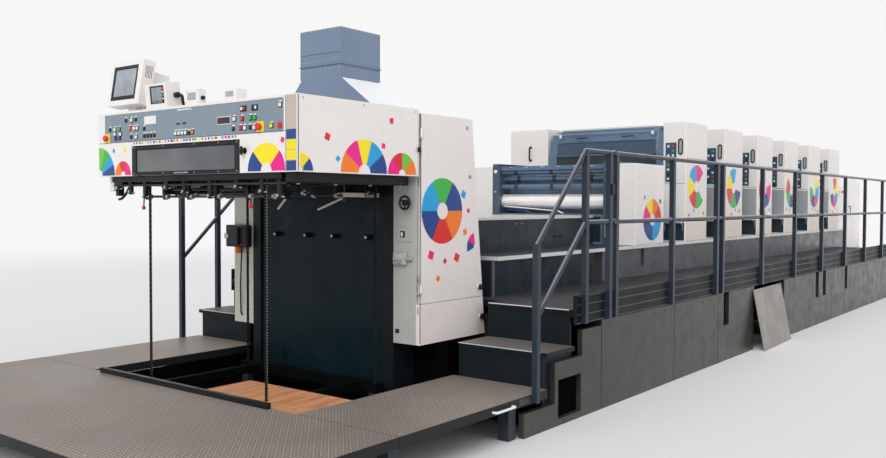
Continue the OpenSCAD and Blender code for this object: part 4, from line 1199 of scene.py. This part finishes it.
def key_strip(u, v, rows, columns, gap, size, low, colors, skip):
    """Rows of small square keys whose colours change from unit to unit."""
    for k in range(rows * columns):
        color = colors[(k * skip + n) % len(colors)]
        units.pad(u + k % columns * gap, v + k // columns * 0.052, size, size, low, low + 0.007, color)


def cover_panels(u, joint):
    """Two cream panels with a thin joint over each."""
    for low, high, wide in ((1.310, 1.990, joint), (2.010, 2.396, 0.004)):
        seam(units, u + 0.004, low - 0.010, u + 0.626, low - 0.010, wide)
        panel(units, u + 0.016, low, u + 0.614, high, cream, 0.0018)


for n in range(UNITS):
    start = UNIT + n * PITCH
    units.face("delivery", start)
    panel(units, 0.742, 1.320, 0.994, 1.700, unit_grey if n else white, 0.002)
    panel(units, 0.742, 1.086, 0.990, 1.285, teal, 0.004)
    hand_bar(0.760, 0.975, 1.190, 1.280, 0.020, 0.009)
    panel(units, 0.762, 1.740, 0.890, 2.180, key_blue)
    key_strip(0.796, 1.775, 8, 2, 0.055, 0.012, 0.002,
              ("white_ink", "navy", "white_ink", "red", "green", "white_ink", "black_ink"), 3)
    tall_handle(0.940, 2.050, 2.216)
    seam(units, 0.738, 1.720, 0.996, 1.720)
    seam(units, 0.738, 1.300, 0.996, 1.300, 0.005)
    panel(units, -1.310, 1.320, -0.785, 2.396, cream, 0.002)
    grab(units, -1.020, 2.030, 2.190, 0.038, 0.009)
    units.face("operator", COVER_NEAR)
    cover_panels(start, 0.005)
    panel(units, start + 0.012, 1.084, start + 0.618, 1.292, skirt, 0.0015)
    screws(units, (start + 0.05, start + 0.58), (1.340, 1.960, 2.040), 0.007)
    units.face("feeder", start + 0.630)
    for v in (1.300, 2.000):
        seam(units, -0.996, v, -0.738, v)
    units.face("operator", -0.735)
    panel(units, start + 0.640, 1.620, start + 0.830, 1.940, unit_grey, 0.004)
    panel(units, start + 0.655, 1.950, start + 0.790, 2.200, key_blue, 0.006)
    key_strip(start + 0.682, 1.985, 4, 3, 0.038, 0.010, 0.004,
              ("white_ink", "black_ink", "green", "white_ink", "red"), 2)
    units.box((start + 0.700, 1.700, 0.002), (start + 0.790, 1.780, 0.030), black, 0.004)
    panel(units, start + 0.645, 1.090, start + 1.185, 1.380, teal, 0.004)
    hand_bar(start + 0.66, start + 1.15, 1.375, 1.400, 0.040, 0.010)
    for v in (1.470, 1.545):
        panel(units, start + 0.660, v, start + 0.740, v + 0.030, "black_ink")
    profile = [(0, 0.075), (0.008, 0.075), (0.012, 0.062)]
    units.turned((start + 1.02, 1.235, 0.003), UP, profile, dark_steel, 28)
    units.face("delivery", start + 0.010)
    for u in (-0.30, 0.30):
        handle(units, (u - 0.07, 2.275), (u + 0.07, 2.275), 0.030, 0.006)
        units.pad(u * 2, 2.305, 0.014, 0.020, -0.002, 0.012, "white_ink", 0.003)
    panel(units, -0.636, 2.070, 0.636, 2.225, guard_dark, 0.003, 0.001)
    for v in (2.066, 2.228, 2.352):
        units.rod((-0.630, v, 0.008), (0.630, v, 0.008), 0.007, frame_blue, 10)
    units.face("top", 2.390)
    for u in (start + 0.060, start + 0.460):
        panel(units, u, -0.630, u + 0.014, 0.630, ledge_pale, 0.004, 0.001)
    units.face("drive", COVER_FAR)
    u = -start - 0.630
    cover_panels(u, 0.004)
    grab(units, u + 0.100, 1.600, 1.760)
    screws(units, (u + 0.05, u + 0.58), (1.340, 1.960), 0.007)
    screw(units, u + 0.58, 2.040, 0.007)
    for k in range(6):
        seam(units, u + 0.200, 2.100 + k * 0.03, u + 0.430, 2.100 + k * 0.03, 0.008)
units.done()

# %% Rollers inside the units
inside = Parts("unit_inner_rollers", "roller_rubber")
for n in range(1, UNITS):
    for x, z, radius, material in ((0.730, 2.040, 0.030, chrome), (0.770, 1.985, 0.022, rubber)):
        x += UNIT + n * PITCH
        inside.rod((x, -0.640, z), (x, 0.640, z), radius, material, 20)
inside.done()

# %% [markdown]
# ## Feeder
# The feeder's belts carry the sheets up the sloping table. Suckers on hoses lift each sheet off the pile.

# %% Feeder
feed = Parts("feeder_fittings", "pale_steel")
rise = math.atan2(0.320, 1.160)
feed.on(Matrix.Translation((14.325, 0, 1.480)) @ Matrix.Rotation(-rise, 4, "Y"))
for y in (-0.48, -0.24, 0.0, 0.24, 0.48):
    feed.box((0.02, y - 0.022, -0.001), (1.16, y + 0.022, 0.003), rubber, 0.001)
for x in (0.25, 0.60, 0.95):
    feed.rod((x, -0.62, 0.045), (x, 0.62, 0.045), 0.010, chrome)
    for y in (-0.36, -0.12, 0.12, 0.36):
        collar(feed, (x, y - 0.012, 0.022), 0.018, 0.020, 0.024, "white_ink", 20)
feed.on()
for k, y in enumerate((-0.45, -0.27, -0.09, 0.09, 0.27, 0.45)):
    feed.rod((15.62, y, 1.700), (15.62, y, 1.785), 0.011, zinc)
    feed.turned((15.62, y, 1.700), (0, 0, -1), [(0, 0.012), (0.008, 0.020), (0.016, 0.022)], rubber, 16)
    feed.tube([(15.66, y, 1.78), (15.66, y, 1.70), (15.62, y + 0.04, 1.74), (15.60, y + 0.05, 1.79)], 0.006,
              ("navy", rubber)[k % 2])
FEEDER_SIDES = {
    "drive": (-15.36, [(-14.90, 1.20, 0.44, 0.60), (-15.42, 1.20, 0.44, 0.42), (-15.40, 0.72, 0.94, 0.40)]),
    "operator": (15.30, [(14.45, 1.20, 0.42, 0.62), (14.95, 1.20, 0.42, 0.42), (15.45, 0.80, 0.30, 0.70),
                         (14.45, 0.72, 0.92, 0.40)]),
}
for face, (grip, plates) in FEEDER_SIDES.items():
    feed.face(face, 0.795 if face == "drive" else -0.795)
    grab(feed, grip, 1.30, 1.46)
    for u, v, wide, tall in plates:
        panel(feed, u, v, u + wide, v + tall, cream)
        screw(feed, u + 0.03, v + 0.03)
        screw(feed, u + wide - 0.03, v + tall - 0.03)
for k in range(6):
    key(feed, 14.52 + (k % 3) * 0.05, 1.66 + (k // 3) * 0.06, ("green", "white_ink", "red")[k % 3])
stop_button(feed, 14.78, 1.72)
feed.done()

# %% [markdown]
# ## Painted colour wheels
# The covers carry a bright design of colour wheels, fans and small squares. Each patch of colour is a
# thin raised film.

# %% Colour wheels
FILM = 0.0008


def fan(parts, u, v, inner, outer, start, end, colors):
    """Ring sectors of equal angle, one colour after the other."""
    step = (end - start) / len(colors)
    for k, color in enumerate(colors):
        arc = [math.radians(start + (k + i / 6) * step) for i in range(7)]
        for a, b in zip(arc, arc[1:]):
            corners = [(u + radius * math.cos(angle), v + radius * math.sin(angle))
                       for radius, angle in ((outer, a), (outer, b), (inner, b), (inner, a))]
            parts.prism(corners, -0.0005, FILM, color)


def patch(parts, u, v, size, angle, color):
    """A small turned square."""
    angles = [math.radians(angle + 90 * k) for k in range(4)]
    corners = [(u + size * math.cos(a), v + size * math.sin(a)) for a in angles]
    parts.prism(corners, -0.0005, FILM, color)


paint = Parts("painted_wheels", "white_enamel").face("delivery", HEAD)
base = HEAD_LOW + 0.008
fan(paint, -1.150, base, 0.045, 0.205, 0, 90, ["navy", "cyan", "green", "lime"])
fan(paint, -0.838, base, 0.028, 0.100, 0, 180, ["magenta", "red", "orange"])
fan(paint, 0.712, base, 0.050, 0.172, 0, 180, ["magenta", "yellow", "yellow", "navy"])
patch(paint, -0.955, 1.865, 0.020, 10, "cyan")
patch(paint, -0.815, 1.868, 0.024, 30, "yellow")
patch(paint, 0.860, 1.872, 0.022, 20, "magenta")
paint.face("delivery", HEAD - 0.002)
for k, color in enumerate(("navy", "yellow", "yellow", "navy")):
    panel(paint, 0.896, base + 0.062 * k, 0.980, base + 0.062 * (k + 1) - 0.004, color, FILM, 0.0003)
paint.face("operator", HEAD_NEAR)
fan(paint, 1.375, base, 0.020, 0.105, 0, 90, ["navy", "yellow"])
fan(paint, 1.930, base, 0.055, 0.215, 0, 180, ["navy", "cyan", "yellow", "magenta", "orange"])
fan(paint, 2.300, base, 0.035, 0.145, 0, 180, ["orange", "lime", "red", "magenta"])
for spot in ((1.600, 1.900, 0.030, 25, "red"), (2.190, 2.040, 0.026, 50, "red"),
             (1.690, 1.770, 0.022, 5, "cyan"), (2.110, 1.870, 0.024, 40, "magenta")):
    patch(paint, *spot)
paint.face("operator", COVER_NEAR - 0.0018)
for n in range(UNITS):
    start = UNIT + n * PITCH
    tones = [bars[(n + k) % 6] for k in range(5)]
    fan(paint, start + 0.315, 1.690, 0.065, 0.245, 40 + 30 * n, 320 + 30 * n, tones)
    for k in range(4):
        low = 1.370 + 0.018 * ((k * 3 + n) % 4)
        patch(paint, start + 0.10 + 0.14 * k, low, 0.026, 20 * k, bars[(n * 2 + k) % 6])
paint.face("operator", COVER_NEAR)
fan(paint, 6.250, 1.330, 0.060, 0.215, 0, 180, ["red", "orange", "yellow", "magenta"])
fan(paint, 6.250, 1.330, 0.060, 0.215, 180, 360, ["navy", "cyan"])
patch(paint, 6.060, 1.560, 0.026, 20, "green")
patch(paint, 6.440, 1.520, 0.030, 50, "navy")
paint.done()

gate = Parts("painted_wheel_door", "white_enamel", "hinged_door").face("operator", COVER_NEAR)
fan(gate, 2.730, 1.440, 0.060, 0.235, 60, 420, ["green", "cyan", "navy", "red", "orange", "navy"])
fan(gate, 3.130, 1.170, 0.020, 0.105, 100, 200, ["magenta", "navy"])
for spot in ((2.980, 1.560, 0.036, 15, "cyan"), (3.040, 1.440, 0.022, 40, "red"),
             (3.000, 1.285, 0.030, 60, "orange"), (2.600, 1.130, 0.040, 25, "magenta"),
             (2.760, 1.080, 0.024, 70, "red"), (2.900, 1.100, 0.040, 20, "red"),
             (2.680, 0.960, 0.026, 10, "orange"), (3.060, 1.690, 0.020, 30, "green")):
    patch(gate, *spot)
gate.done()
